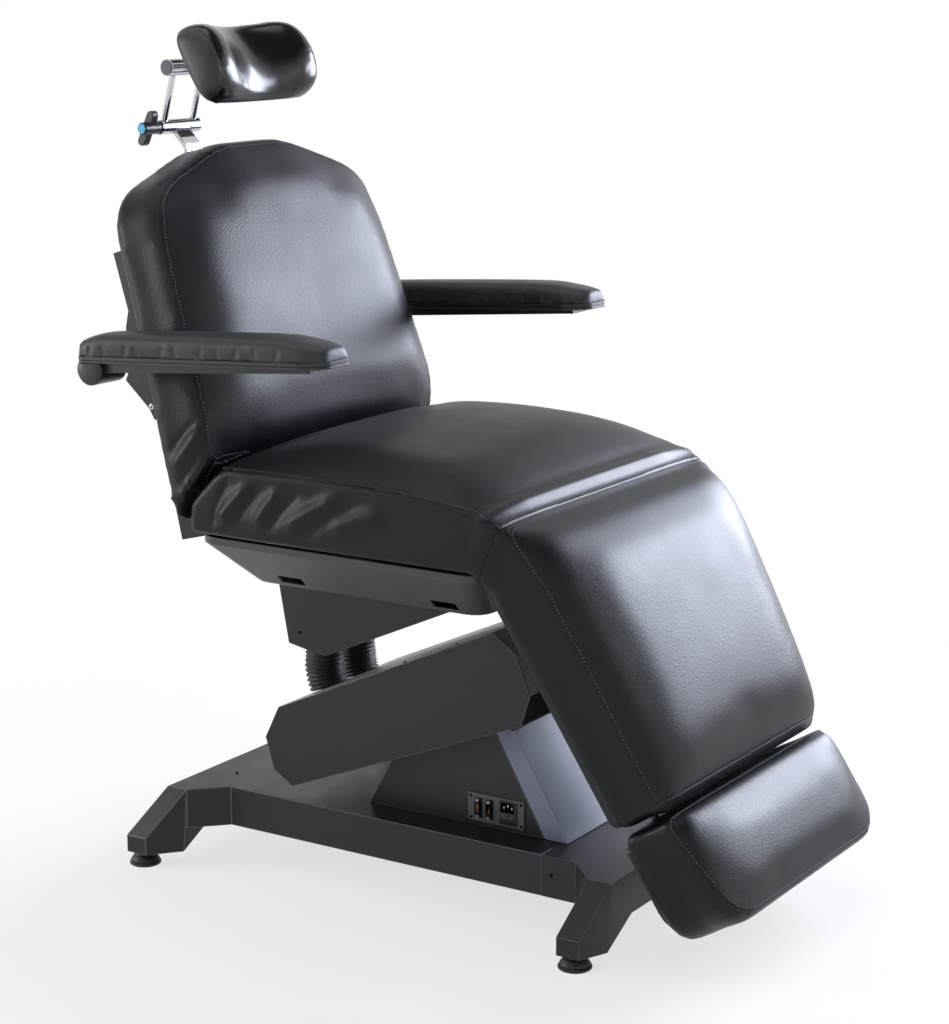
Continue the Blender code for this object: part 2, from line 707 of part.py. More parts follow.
width, height = INLET_SIZE
face = panel_face - GAP
body_w, body_h = width - 0.003, height - 0.003
inlet = part("mains_inlet", block((INLET_X - width / 2, INLET_X + width / 2), (face - 0.002, face),
                                  (panel_mid - height / 2, panel_mid + height / 2)), "base", BLACK_PLASTIC)
join(inlet, block((INLET_X - body_w / 2, INLET_X + body_w / 2), (face - 0.001, face + INLET_DEPTH),
                  (panel_mid - body_h / 2, panel_mid + body_h / 2)))
mouth_low = panel_mid + height / 2 - 0.002 - INLET_MOUTH[1]
cut(inlet, block((INLET_X - INLET_MOUTH[0] / 2, INLET_X + INLET_MOUTH[0] / 2), (face - 0.01, face + MOUTH_DEPTH),
                 (mouth_low, mouth_low + INLET_MOUTH[1])))
for target in (panel, covers["right"]):
    cut(target, opening_for(INLET_X, body_w, body_h))

part("control_box", block((0.120, 0.225), (0.025, 0.085), (FLOOR + FLANGE + GAP, 0.205)), "base", PANEL_GREY)


# Lift actuator: pushes the crank on the arm's front shaft

crank_end = point_in(ARM_FRAME, (-CRANK_LENGTH, 0))
LIFT_X = crank_end[0] - 0.004
LIFT_Y = sum(CRANK_LANE) / 2
lift_pad = crank_end[1] - ROLLER_RADIUS - ROLLER_CLEARANCE
LIFT_BODY_TOP = 0.245
lift_body = part("lift_actuator_body", shaft(0.028, (LIFT_X, LIFT_Y, FLOOR + FLANGE + GAP),
                                             (LIFT_X, LIFT_Y, LIFT_BODY_TOP)), "base", STEEL)
cut(lift_body, shaft(0.010 + RUN, (LIFT_X, LIFT_Y, 0.155), (LIFT_X, LIFT_Y, 0.30)))
lift_rod = part("lift_actuator_rod", shaft(0.010, (LIFT_X, LIFT_Y, 0.155 + RUN), (LIFT_X, LIFT_Y, lift_pad - 0.003)),
                "lift_rod", CHROME)
join(lift_rod, shaft(0.018, (LIFT_X, LIFT_Y, lift_pad - 0.006), (LIFT_X, LIFT_Y, lift_pad)))


# Lift arm: two plates and a cross tube on the front shaft, under a sheet cover

def arm_top(x):
    """Top of the arm's cover along the arm."""
    share = (x - ARM_REAR_TOP[0]) / (ARM_FRONT_TOP[0] - ARM_REAR_TOP[0])
    return ARM_REAR_TOP[1] + share * (ARM_FRONT_TOP[1] - ARM_REAR_TOP[1])


TAB = (-0.200, -0.120)      # where the arm's plates reach up to the cover
h = ARM_PLATE_HALF_HEIGHT
tab_top = arm_top(TAB[0]) - SHEET - GAP
plate_rear, plate_front = -ARM_LENGTH - h, 0.032
arm_plate = rounded([(plate_rear, -h, 0.02), (plate_front, -h, 0.02), (plate_front, h, 0.02), (TAB[1] + 0.02, h, 0),
                     (TAB[1], tab_top, 0), (TAB[0], tab_top, 0), (TAB[0] - 0.02, h, 0), (plate_rear, h, 0.02)])
arm = part("lift_arm_frame", across(0.015, (-0.220, 0), (-ARM_PLATE_INNER - 0.005, ARM_PLATE_INNER + 0.005)),
           "lift_arm", POWDER_COAT, ARM_FRAME)
for _, side_sign in SIDES:
    join(arm, plate(arm_plate, mirrored((ARM_PLATE_INNER, ARM_PLATE_INNER + ARM_PLATE), side_sign)))
cut(arm, across(SHAFT_RADIUS + RUN, (0, 0), (-0.2, 0.2)))
cut(arm, across(REAR_SHAFT_RADIUS + RUN, (-ARM_LENGTH, 0), (-0.2, 0.2)))

shaft_end = ARM_PLATE_INNER + ARM_PLATE
front_shaft = part("front_pivot_shaft", across(SHAFT_RADIUS, (0, 0), (-shaft_end, shaft_end)),
                   "lift_arm", STEEL, ARM_FRAME)
join(front_shaft, plate(capsule((0, 0), (-CRANK_LENGTH, 0), 0.020, 0.006), CRANK_LANE),
     across(ROLLER_RADIUS, (-CRANK_LENGTH, 0), CRANK_LANE))
part("rear_pivot_shaft", across(REAR_SHAFT_RADIUS, (-ARM_LENGTH, 0), (-shaft_end, shaft_end)),
     "lift_arm", STEEL, ARM_FRAME)

nose_upper, nose_lower = (0.0768, 0.030), (0.0748, -0.034)
side_outline = (ARM_REAR_TOP, (-0.430, 0.025), (-0.436, -0.028), (-0.412, -0.062), (0.041, -0.074),
                nose_lower, nose_upper, ARM_FRONT_TOP)
for side_name, side_sign in SIDES:
    part(f"arm_cover_{side_name}", plate(side_outline, mirrored((ARM_COVER_HALF - SHEET, ARM_COVER_HALF), side_sign)),
         "lift_arm", POWDER_COAT, ARM_FRAME)
inside = ARM_COVER_HALF - SHEET - GAP
top_cover = part("arm_top_cover", plate(
    (ARM_REAR_TOP, ARM_FRONT_TOP, nose_upper, nose_lower, (nose_lower[0] - SHEET, nose_lower[1]),
     (nose_upper[0] - SHEET, nose_upper[1]), (ARM_FRONT_TOP[0] - SHEET / 2, ARM_FRONT_TOP[1] - SHEET),
     (ARM_REAR_TOP[0], ARM_REAR_TOP[1] - SHEET)), (-inside, inside)), "lift_arm", POWDER_COAT, ARM_FRAME)
for side_sign in (-1, 1):
    notch = POST_RADIUS + 0.0055
    cut(top_cover, block((-0.45, ARM_REAR_TOP[0] + 0.033), (side_sign * POST_Y - notch, side_sign * POST_Y + notch),
                         (0, 0.1)))

link_at = (LINK_RISE * sin(radians(ARM_TILT)), LINK_RISE * cos(radians(ARM_TILT)))
link_end = (link_at[0] - ARM_LENGTH, link_at[1])
link = part("level_link", plate(capsule(link_at, link_end, LINK_HALF_HEIGHT, LINK_HALF_HEIGHT),
                                (-LINK_HALF, LINK_HALF)), "level_link", STEEL, ARM_FRAME)
for end_at in (link_at, link_end):
    cut(link, across(LINK_PIN_RADIUS + RUN, end_at, (-0.1, 0.1)))


# Seat carrier: two posts on the arm's rear shaft, inside bellows and a sheet cover

carrier_outline = tuple((REAR_PIVOT[0] + x, z) for x, z in CARRIER_REAR) + CARRIER_FRONT
(rear_top, high), (rear_low, low) = carrier_outline[:2]
lean_back = (rear_top - rear_low) / (high - low)
carrier = part("carrier_frame", block((rear_top + CARRIER_SHEET + GAP - lean_back * CARRIER_PLATE, 0.120),
                                      (GAP + CARRIER_SHEET - CARRIER_HALF, CARRIER_HALF - CARRIER_SHEET - GAP),
                                      (CARRIER_TOP - CARRIER_PLATE, CARRIER_TOP)), "seat", POWDER_COAT)
for side_sign in (-1, 1):
    post = (REAR_PIVOT[0], side_sign * POST_Y)
    join(carrier, shaft(POST_RADIUS, (*post, REAR_PIVOT[1] - 0.020), (*post, CARRIER_TOP - 0.003)))
    join(carrier, shaft(COLLAR_RADIUS, (*post, COLLAR_LOW), (*post, COLLAR_LOW + COLLAR_THICK)))
join(carrier, across(LINK_PIN_RADIUS, LINK_REAR, (-POST_Y, POST_Y)))
cut(carrier, across(REAR_SHAFT_RADIUS + RUN, REAR_PIVOT, (-0.1, 0.1)))

cover = part("carrier_cover", plate(carrier_outline, (-CARRIER_HALF, CARRIER_HALF)), "seat", PAN_PLASTIC)
inside_half = CARRIER_HALF - CARRIER_SHEET
cut(cover, plate(((rear_low + CARRIER_SHEET - lean_back * 0.05, low - 0.05),
                  (rear_top + CARRIER_SHEET + lean_back * 0.05, high + 0.05), (0.4, high + 0.05), (0.4, low - 0.05)),
                 (-inside_half, inside_half)))
mouth_half = POST_Y + BELLOWS_RADIUS + 0.003
cut(cover, block((rear_top - 0.1, carrier_outline[3][0] - 0.005), (-mouth_half, mouth_half), (0.2, COLLAR_LOW + COLLAR_THICK + 0.004)))


def bellows_axis():
    """Points down the bellows: upright under the collar, then bent square to the arm's cover."""
    foot_x = -ARM_LENGTH + ARM_REAR_TOP[1] * tan(radians(ARM_TILT)) + 0.0015
    foot = ARM_FRAME @ Vector((foot_x, 0, arm_top(foot_x) + 3 * GAP))
    slope = (ARM_FRONT_TOP[1] - ARM_REAR_TOP[1]) / (ARM_FRONT_TOP[0] - ARM_REAR_TOP[0])
    bend = radians(ARM_TILT) + slope
    arc_top = Vector((foot.x - BELLOWS_BEND * (1 - cos(bend)), 0, foot.z + BELLOWS_BEND * sin(bend)))
    upright = COLLAR_LOW - GAP - arc_top.z
    length = upright + BELLOWS_BEND * bend
    points = []
    for k in range(2 * BELLOWS_RIBS + 1):
        s = length * k / (2 * BELLOWS_RIBS)
        if s <= upright:
            points.append((arc_top.x, arc_top.z + upright - s))
        else:
            angle = (s - upright) / BELLOWS_BEND
            points.append((arc_top.x + BELLOWS_BEND * (1 - cos(angle)), arc_top.z - BELLOWS_BEND * sin(angle)))
    return points


axis = bellows_axis()
rib_radii = [BELLOWS_VALLEY if k % 2 == 0 else BELLOWS_RADIUS for k in range(len(axis))]
for side_name, side_sign in SIDES:
    place = [(x, side_sign * POST_Y, z) for x, z in axis]
    bellows = part(f"bellows_{side_name}", swept(place, rib_radii, 4), "seat", RUBBER)
    head, tail = Vector(place[0]), Vector(place[-1])
    ends = [head + (head - Vector(place[1]))] + [Vector(p) for p in place[1:-1:4]] + [tail + (tail - Vector(place[-2]))]
    cut(bellows, swept([tuple(p) for p in ends], [BELLOWS_BORE] * len(ends), 4))


# Seat: pan, frame with its board, cushion and knee hinge leaf

def pan_ring(edge, z):
    rear, front, half = edge
    corners = [(rear, -half, PAN_CORNER), (front, -half, PAN_CORNER), (front, half, PAN_CORNER), (rear, half, PAN_CORNER)]
    return [(x, y, z) for x, y in rounded(corners)]


def shrunk(edge, by):
    return edge[0] + by, edge[1] - by, edge[2] - by


pan = part("seat_pan", loft([pan_ring(PAN_FLOOR, PAN_LOW), pan_ring(PAN_EDGE, PAN_RIM), pan_ring(PAN_EDGE, PAN_TOP)]),
           "seat", PAN_PLASTIC)
cut(pan, loft([pan_ring(shrunk(PAN_FLOOR, PAN_WALL), PAN_LOW + PAN_WALL), pan_ring(shrunk(PAN_EDGE, PAN_WALL), PAN_RIM),
               pan_ring(shrunk(PAN_EDGE, PAN_WALL), PAN_TOP + 0.01)]))
for slot_x in SLOT_X:
    for side_sign in (-1, 1):
        cut(pan, block((slot_x - SLOT_SIZE[0] / 2, slot_x + SLOT_SIZE[0] / 2),
                       mirrored((PAN_FLOOR[2] - 0.010, PAN_FLOOR[2] + 0.030), side_sign),
                       (PAN_LOW + 0.007, PAN_LOW + 0.007 + SLOT_SIZE[1])))

knee_frame = lean(KNEE, KNEE_LEAN)      # Z up the hinge leaves, X towards the leg


def leaf(sign, low, high):
    """X-Z outline, in the knee's frame, of a hinge leaf on one side of the middle plane."""
    near, far = sign * LEAF_CLEAR, sign * (LEAF_CLEAR + LEAF)
    return ((near, low), (far, low), (far, high), (near, high))


board_z = (PAN_TOP + GAP, PAN_TOP + GAP + BOARD)
leaf_foot = -(KNEE[1] - sum(board_z) / 2) / cos(radians(KNEE_LEAN))
board_front = point_in(knee_frame, (-LEAF_CLEAR - LEAF - GAP, leaf_foot))[0] - BOARD / 2 * tan(radians(KNEE_LEAN))
seat_frame = part("seat_frame", block((SEAT_REAR + 0.007, board_front), (-BOARD_HALF, BOARD_HALF), board_z),
                  "seat", POWDER_COAT)
pan_inside = PAN_LOW + PAN_WALL + GAP
hinge_x, hinge_z = BACK_HINGE
lug_outline = ((SEAT_REAR + 0.020, board_z[0]), (SEAT_REAR + 0.020, board_z[1]), (SEAT_REAR - 0.001, board_z[1]),
               (hinge_x + 0.007, hinge_z + 0.014), (hinge_x - 0.0135, hinge_z + 0.006),
               (hinge_x - 0.0135, hinge_z - 0.008), (hinge_x, hinge_z - 0.014), (hinge_x + 0.014, hinge_z - 0.008),
               (hinge_x + 0.0215, board_z[0]))
for _, side_sign in SIDES:
    rail_y = mirrored((SEAT_RAIL_Y - 0.010, SEAT_RAIL_Y + 0.010), side_sign)
    join(seat_frame, block((-0.190, 0.185), rail_y, (pan_inside, board_z[0] + 0.002)))
    join(seat_frame, plate(lug_outline, mirrored(LUG_Y, side_sign)))
cut(seat_frame, across(BACK_HINGE_PIN + RUN, BACK_HINGE, (-0.3, 0.3)))

knuckle = 2 * LEAF_HALF / KNUCKLES


def knuckles(first):
    """Y spans of every other knuckle of the knee hinge."""
    return [(-LEAF_HALF + k * knuckle + GAP, -LEAF_HALF + (k + 1) * knuckle - GAP) for k in range(first, KNUCKLES, 2)]


clear = KNUCKLE_RADIUS + 0.003
seat_leaf = part("knee_hinge_leaf", plate(leaf(-1, leaf_foot, -clear), (-LEAF_HALF, LEAF_HALF)), "seat", STEEL, knee_frame)
for span in knuckles(0):
    join(seat_leaf, plate(leaf(-1, -clear - 0.002, 0), span), across(KNUCKLE_RADIUS, (0, 0), span, 12))
join(seat_leaf, across(KNEE_PIN_RADIUS, (0, 0), (0.001 - LEAF_HALF, LEAF_HALF - 0.001), 12))

knee_seat = point_in(knee_frame, (-CUSHION_CLEAR, 0))
knee_run = tan(radians(KNEE_LEAN))
seat_front_low = knee_seat[0] - (knee_seat[1] - SEAT_BOTTOM) * knee_run
seat_nose = KNEE[1] + 0.010
seat_profile = split(rounded([
    (seat_front_low, SEAT_BOTTOM, 0.004), (SEAT_REAR, SEAT_BOTTOM, 0.008), (SEAT_REAR, 0.610, 0.025),
    (-0.200, SEAT_TOP - 0.004, 0.05), (-0.05, SEAT_TOP, 0), (0.17, SEAT_TOP - 0.002, 0.20),
    (knee_seat[0] + (seat_nose - knee_seat[1]) * knee_run, seat_nose, 0.010)]), 0.040)
seat_middle = ((SEAT_REAR + KNEE[0]) / 2, (SEAT_BOTTOM + SEAT_TOP) / 2)


def seat_ring(y, shrink_x, shrink_z, crown):
    """Side profile of the seat cushion at one Y, shrunk towards its middle, with its top raised."""
    ring = []
    for x, z in seat_profile:
        share = (x - SEAT_REAR) / (KNEE[0] - SEAT_REAR)
        bow = sin(pi * min(max(0.08 + 0.84 * share, 0), 1)) ** 0.8
        rise = crown * SEAT_CROWN * bow if z > seat_middle[1] + 0.03 else 0
        ring.append((seat_middle[0] + (x - seat_middle[0]) * (1 - shrink_x), y,
                     max(seat_middle[1] + (z - seat_middle[1]) * (1 - shrink_z) + rise, SEAT_BOTTOM)))
    return ring


SEAT_STATIONS = ((SEAT_HALF - 0.006, 0.45, 0.55, 0), (SEAT_HALF - 0.001, 0.06, 0.16, 0), (SEAT_HALF, 0.02, 0.06, 0),
                 (SEAT_HALF - 0.006, 0, 0, 0.08), (SEAT_HALF - 0.020, 0, 0, 0.36), (SEAT_HALF - 0.045, 0, 0, 0.62),
                 (SEAT_HALF - 0.090, 0, 0, 0.82), (SEAT_HALF - 0.170, 0, 0, 0.96), (SEAT_HALF - 0.250, 0, 0, 1.0))
seat_rings = [seat_ring(-y, *rest) for y, *rest in SEAT_STATIONS]
seat_rings += [seat_ring(y, *rest) for y, *rest in reversed(SEAT_STATIONS)]
part("seat_cushion", loft(seat_rings), "seat", LEATHER)


# Leg rest: board with the hinge leaf and lever, cushion on top

def leg_point(u, v, n):
    """Point of the leg rest from its place across, down and out of the leg."""
    return n, u, -v


def knee_to_leg(x, z):
    """X-Z place in the leg rest's frame of a place in the knee's frame."""
    place = LEG_FRAME.inverted() @ knee_frame @ Vector((x, 0, z))
    return place.x, place.z


board_face = LEG_BACK - GAP
board_back = board_face - LEG_BOARD
leaf_low = -0.088
board_top = -knee_to_leg(LEAF_CLEAR + LEAF, leaf_low)[1] - 0.004
board_half_top = LEG_HALF_TOP - 0.018
board_half_low = LEG_HALF_LOW - 0.013
leg_frame = part("leg_frame", plate(rounded([
    (-board_half_top, -board_top, 0.006), (board_half_top, -board_top, 0.006), (board_half_low, 0.006 - LEG_LENGTH, 0.02),
    (-board_half_low, 0.006 - LEG_LENGTH, 0.02)]), (board_back, board_face), "X"), "legrest", POWDER_COAT, LEG_FRAME)
join(leg_frame, plate([knee_to_leg(x, z) for x, z in leaf(1, leaf_low, -clear)], (-LEAF_HALF, LEAF_HALF)))
for span in knuckles(1):
    join(leg_frame, plate([knee_to_leg(x, z) for x, z in leaf(1, -clear - 0.002, 0)], span))
    join(leg_frame, across(KNUCKLE_RADIUS, (0, 0), span, 12))
    cut(leg_frame, across(KNEE_PIN_RADIUS + RUN, (0, 0), (span[0] - 0.001, span[1] + 0.001), 12))

leg_half_swing = radians(LEG_SWING / 2)
leg_pin_world = (KNEE[0] - LEG_LEVER * sin(leg_half_swing), KNEE[1] - LEG_LEVER * cos(leg_half_swing))
leg_pin = LEG_FRAME.inverted() @ Vector((leg_pin_world[0], 0, leg_pin_world[1]))
cut(leg_frame, block((leg_pin.x + 0.012, board_face + 0.030), (YOKE_LANE[0] - 0.004, LEVER_LANE[0] - 0.0003),
                     (leg_pin.z - 0.025, leg_pin.z + 0.020)))
join(leg_frame, plate(capsule((board_face - 0.005, leg_pin.z - 0.012), (leg_pin.x, leg_pin.z), 0.010, 0.008), LEVER_LANE))
join(leg_frame, across(YOKE_PIN, (leg_pin.x, leg_pin.z), (YOKE_LANE[0] - 0.002, LEVER_LANE[1] - 0.001), 12))
for side_sign in (-1, 1):
    guide_y = side_sign * GUIDE_Y
    join(leg_frame, block((GUIDE_X - GUIDE_BLOCK, board_face - 0.002), (guide_y - GUIDE_BLOCK, guide_y + GUIDE_BLOCK),
                          (-GUIDE_SPAN[1], -GUIDE_SPAN[0])))
    cut(leg_frame, shaft(GUIDE_ROD + RUN, (GUIDE_X, guide_y, -GUIDE_SPAN[1] - 0.05),
                         (GUIDE_X, guide_y, 0.05 - GUIDE_SPAN[0])))

leg_outline = split(rounded([
    (-LEG_HALF_TOP, CUSHION_CLEAR, 0.010), (LEG_HALF_TOP, CUSHION_CLEAR, 0.010), (LEG_HALF_LOW, LEG_LENGTH, 0.028),
    (-LEG_HALF_LOW, LEG_LENGTH, 0.028)]), 0.045)
end_slope = tan(radians(90 - KNEE_LEAN - LEG_TILT))


def leg_cushion_point(u, v, n):
    """Point of the leg cushion, whose upper end leans with the knee hinge."""
    share = max(0.0, 1 - v / LEG_LENGTH)
    lift = 0.018 * max(0.0, 1 - v / 0.12) ** 2 * max(0.0, (n - LEG_BACK) / (LEG_SEAM - LEG_BACK))
    clear_end = CUSHION_CLEAR / sin(radians(90 - KNEE_LEAN - LEG_TILT) + pi / 4)
    return leg_point(u, v + share * (max(0.0, LEG_SEAM - n) * end_slope + clear_end * 0.3), n - lift)


part("leg_cushion", pad(leg_outline, LEG_BACK, lambda v: LEG_SEAM - LEG_BACK, LEG_CROWN, 0.005, leg_cushion_point),
     "legrest", LEATHER, LEG_FRAME)


# Footrest: plate on two guide rods, wedge-shaped cushion

foot_frame = part("footrest_plate", plate(rounded([
    (-FOOT_HALF + 0.016, -FOOT_TOP - 0.006, 0.010), (FOOT_HALF - 0.016, -FOOT_TOP - 0.006, 0.010),
    (FOOT_HALF - 0.028, 0.022 - FOOT_LOW, 0.040), (0.028 - FOOT_HALF, 0.022 - FOOT_LOW, 0.040)]),
    (board_back, board_face), "X"), "footrest", BLACK_PLASTIC, LEG_FRAME)
for side_sign in (-1, 1):
    guide_y = side_sign * GUIDE_Y
    join(foot_frame, block((GUIDE_X - GUIDE_BLOCK, board_face - 0.002), (guide_y - 0.012, guide_y + 0.012),
                           (-FOOT_TOP - 0.045, -FOOT_TOP - 0.008)))
    join(foot_frame, shaft(GUIDE_ROD, (GUIDE_X, guide_y, -FOOT_TOP - 0.012), (GUIDE_X, guide_y, -FOOT_ROD_TOP), 12))

foot_outline = split(rounded([
    (-FOOT_HALF, FOOT_TOP, 0.014), (FOOT_HALF, FOOT_TOP, 0.014), (FOOT_HALF - 0.012, FOOT_LOW, 0.055),
    (0.012 - FOOT_HALF, FOOT_LOW, 0.055)]), 0.045)


def foot_depth(v):
    """Seam of the footrest from its back: it stands out further towards the toes."""
    share = (v - FOOT_TOP) / (FOOT_LOW - FOOT_TOP)
    return FOOT_SEAM_TOP + share * (FOOT_SEAM_LOW - FOOT_SEAM_TOP) - LEG_BACK


part("footrest_cushion", pad(foot_outline, LEG_BACK, foot_depth, FOOT_CROWN, 0.004, leg_point),
     "footrest", LEATHER, LEG_FRAME)


# Back and leg actuators: a rod with a slotted yoke pulls or pushes each lever's pin

def actuator(name, pin, swing, lever, sign, lane_sign, body_x, body_radius):
    """Fixed body in the seat pan, and a sliding rod whose yoke holds the lever's pin."""
    dip = lever * (1 - cos(radians(swing / 2)))
    middle_z = pin[1] - dip / 2
    y = lane_sign * sum(YOKE_LANE) / 2
    slot_half = dip / 2 + YOKE_PIN + RUN
    yoke_half = slot_half + 0.006
    lane = mirrored(YOKE_LANE, lane_sign)
    rod = part(f"{name}_actuator_rod", plate(
        ((pin[0] - YOKE_HALF, middle_z - yoke_half), (pin[0] + YOKE_HALF, middle_z - yoke_half),
         (pin[0] + YOKE_HALF, middle_z + yoke_half), (pin[0] - YOKE_HALF, middle_z + yoke_half)), lane),
        f"{name}_rod", CHROME)
    inner_end = body_x[0] + (0.012 if sign > 0 else 0.022)
    root = pin[0] - sign * (YOKE_PIN + YOKE_CLEAR + 0.003)
    join(rod, shaft(ROD_RADIUS - 0.0036, (root, y, middle_z), (inner_end, y, middle_z), 12))
    width = YOKE_PIN + YOKE_CLEAR
    cut(rod, plate(((pin[0] - width, middle_z - slot_half), (pin[0] + width, middle_z - slot_half),
                    (pin[0] + width, middle_z + slot_half), (pin[0] - width, middle_z + slot_half)),
                   (lane[0] - 0.01, lane[1] + 0.01)))
    body = part(f"{name}_actuator_body", shaft(body_radius, (body_x[0], y, middle_z), (body_x[1], y, middle_z)),
                "seat", STEEL)
    foot_x = sum(body_x) / 2
    join(body, block((foot_x - 0.03, foot_x + 0.03), (y - 0.012, y + 0.012), (pan_inside, middle_z - body_radius / 2)))
    mouth = (body_x[0] + 0.008, body_x[1] + 0.01) if sign > 0 else (body_x[0] - 0.01, body_x[1] - 0.008)
    cut(body, shaft(ROD_RADIUS - 0.0036 + RUN, (mouth[0], y, middle_z), (mouth[1], y, middle_z), 12))
    return middle_z, yoke_half, lane


leg_z, leg_yoke, leg_lane = actuator("leg", leg_pin_world, LEG_SWING, LEG_LEVER, 1, 1, (0.020, 0.185), 0.018)
cut(pan, block((PAN_FLOOR[1] - 0.020, PAN_EDGE[1] + 0.010), (leg_lane[0] - 0.004, LEVER_LANE[1] + 0.004),
               (leg_z - leg_yoke - 0.004, PAN_TOP + 0.01)))

back_half_swing = radians(BACK_SWING / 2)
back_pin_world = (BACK_HINGE[0] - BACK_LEVER * sin(back_half_swing), BACK_HINGE[1] - BACK_LEVER * cos(back_half_swing))
back_z, back_yoke, back_lane = actuator("back", back_pin_world, BACK_SWING, BACK_LEVER, -1, -1, (-0.165, 0.005), 0.016)
cut(pan, block((PAN_EDGE[0] - 0.010, PAN_FLOOR[0] + 0.020), (-LEVER_LANE[1] - 0.004, back_lane[1] + 0.004),
               (max(back_z - back_yoke - 0.004, pan_inside), back_z + back_yoke + 0.006)))


# Back: welded frame on the hinge tube, rear shell and cushion

back = part("back_frame", across(BACK_HINGE_TUBE, (0, 0), (-UPRIGHT_Y[0] - 0.0003, UPRIGHT_Y[0] + 0.0003)),
            "backrest", POWDER_COAT, BACK_FRAME)
join(back, across(BACK_HINGE_PIN, (0, 0), (-HINGE_PLATE_Y[1] + 0.001, HINGE_PLATE_Y[1] - 0.001)))
hinge_outline = ((-0.036, -0.012), (0.016, -0.014), (0.0115, 0.014), (0.0115, 0.100), (-0.017, 0.100), (-0.030, 0.075))
for _, side_sign in SIDES:
    join(back, plate(hinge_outline, mirrored(HINGE_PLATE_Y, side_sign)))
    join(back, block(UPRIGHT_X, mirrored(UPRIGHT_Y, side_sign), UPRIGHT_Z))
for bar_z in ((0.060, 0.090), (0.380, 0.410)):
    join(back, block((UPRIGHT_X[0] + 0.008, UPRIGHT_X[1]), (-UPRIGHT_Y[0] - 0.005, UPRIGHT_Y[0] + 0.005), bar_z))
back_pin = BACK_FRAME.inverted() @ Vector((back_pin_world[0], 0, back_pin_world[1]))
join(back, plate(capsule((0, 0), (back_pin.x, back_pin.z), 0.012, 0.008), mirrored(LEVER_LANE, -1)))
join(back, across(YOKE_PIN, (back_pin.x, back_pin.z), (-LEVER_LANE[1] + 0.001, 0.002 - YOKE_LANE[0]), 12))


def back_corners(shrink):
    """Corners of the back's front view, drawn in by a distance."""
    return [(-BACK_HALF_LOW + shrink, BACK_LOW + shrink, 0.030), (BACK_HALF_LOW - shrink, BACK_LOW + shrink, 0.030),
            (BACK_HALF_SHOULDER - shrink, BACK_SHOULDER, 0.075), (BACK_PEAK_HALF, BACK_PEAK - shrink, 0.110),
            (-BACK_PEAK_HALF, BACK_PEAK - shrink, 0.110), (shrink - BACK_HALF_SHOULDER, BACK_SHOULDER, 0.075)]


shell_x = (UPRIGHT_X[1] + GAP, UPRIGHT_X[1] + GAP + SHELL)
part("back_shell", plate(rounded(back_corners(0.009)), shell_x, "X"), "backrest", BLACK_PLASTIC, BACK_FRAME)
cushion_back = shell_x[1] + GAP


def back_depth(v):
    """Seam of the back cushion from its rear face: the lower end is rounded off behind the seat."""
    share = min(1.0, max(0.0, (v - BACK_LOW - 0.010) / 0.100))
    top = max(0.0, (v - 0.350) / (BACK_PEAK - 0.350))
    return BACK_THICK * (0.09 + 0.91 * share * share * (3 - 2 * share) - 0.20 * top)


def back_point(u, v, n):
    """Point of the back cushion from its place across, up and out of the back."""
    share = min(1.0, max(0.0, (v - BACK_LOW) / 0.130))
    out = n if n < cushion_back + back_depth(v) else cushion_back + back_depth(v) + (n - cushion_back - back_depth(v)) * share
    return out, u, v


part("back_cushion", pad(split(rounded(back_corners(0)), 0.045), cushion_back, back_depth, BACK_CROWN, 0.005, back_point),
     "backrest", LEATHER, BACK_FRAME)

bracket_outline = ((UPRIGHT_X[1] - 0.0005, 0.168), (-0.015, 0.178), (-0.0195, 0.196), (-0.051, 0.248), (-0.043, 0.257),
                   (-0.024, 0.325), (-0.002, 0.365), (UPRIGHT_X[1] - 0.0005, 0.375))
for side_name, side_sign in SIDES:
    bracket = part(f"armrest_bracket_{side_name}", plate(bracket_outline, mirrored(BRACKET_Y, side_sign)),
                   "backrest", POWDER_COAT, BACK_FRAME)
    join(bracket, across(ARMREST_PIN, ARMREST_PIVOT,
                         mirrored((BRACKET_Y[0] + 0.002, ARMREST_Y + BOSS_HALF), side_sign)))

guide = part("headrest_guide", block((BAR_X - BAR_THICK / 2 - 0.0055, UPRIGHT_X[1]), (-BAR_HALF - 0.008, BAR_HALF + 0.008),
                                     (GUIDE_LOW, GUIDE_HIGH)), "backrest", POWDER_COAT, BACK_FRAME)
cut(guide, block((BAR_X - BAR_THICK / 2 - RUN, BAR_X + BAR_THICK / 2 + RUN), (-BAR_HALF - RUN, BAR_HALF + RUN), (0.2, 0.8)))


# Armrests: rail with its pivot boss, tray and pad

def armrest_outline(shrink):
    """Top view of an armrest, narrower and clipped at the front."""
    rear, front = PAD_X[0] + shrink, PAD_X[1] - shrink
    half, tip = PAD_HALF - shrink, PAD_TIP_HALF - shrink
    return [(rear, -half + 0.012, 0.012), (front - 0.040, -half, 0.03), (front, -tip, 0.012), (front, tip, 0.012),
            (front - 0.040, half, 0.03), (rear, half - 0.012, 0.012)]


def armrest_point(u, v, n, y):
    """Point of an armrest pad, whose top falls towards both ends."""
    fall = 0.45 * max(0.0, 1 - (PAD_X[1] - u) / 0.085) + 0.35 * max(0.0, 1 - (u - PAD_X[0]) / 0.040)
    return u, v + y, pad_low + (n - pad_low) * (1 - fall)


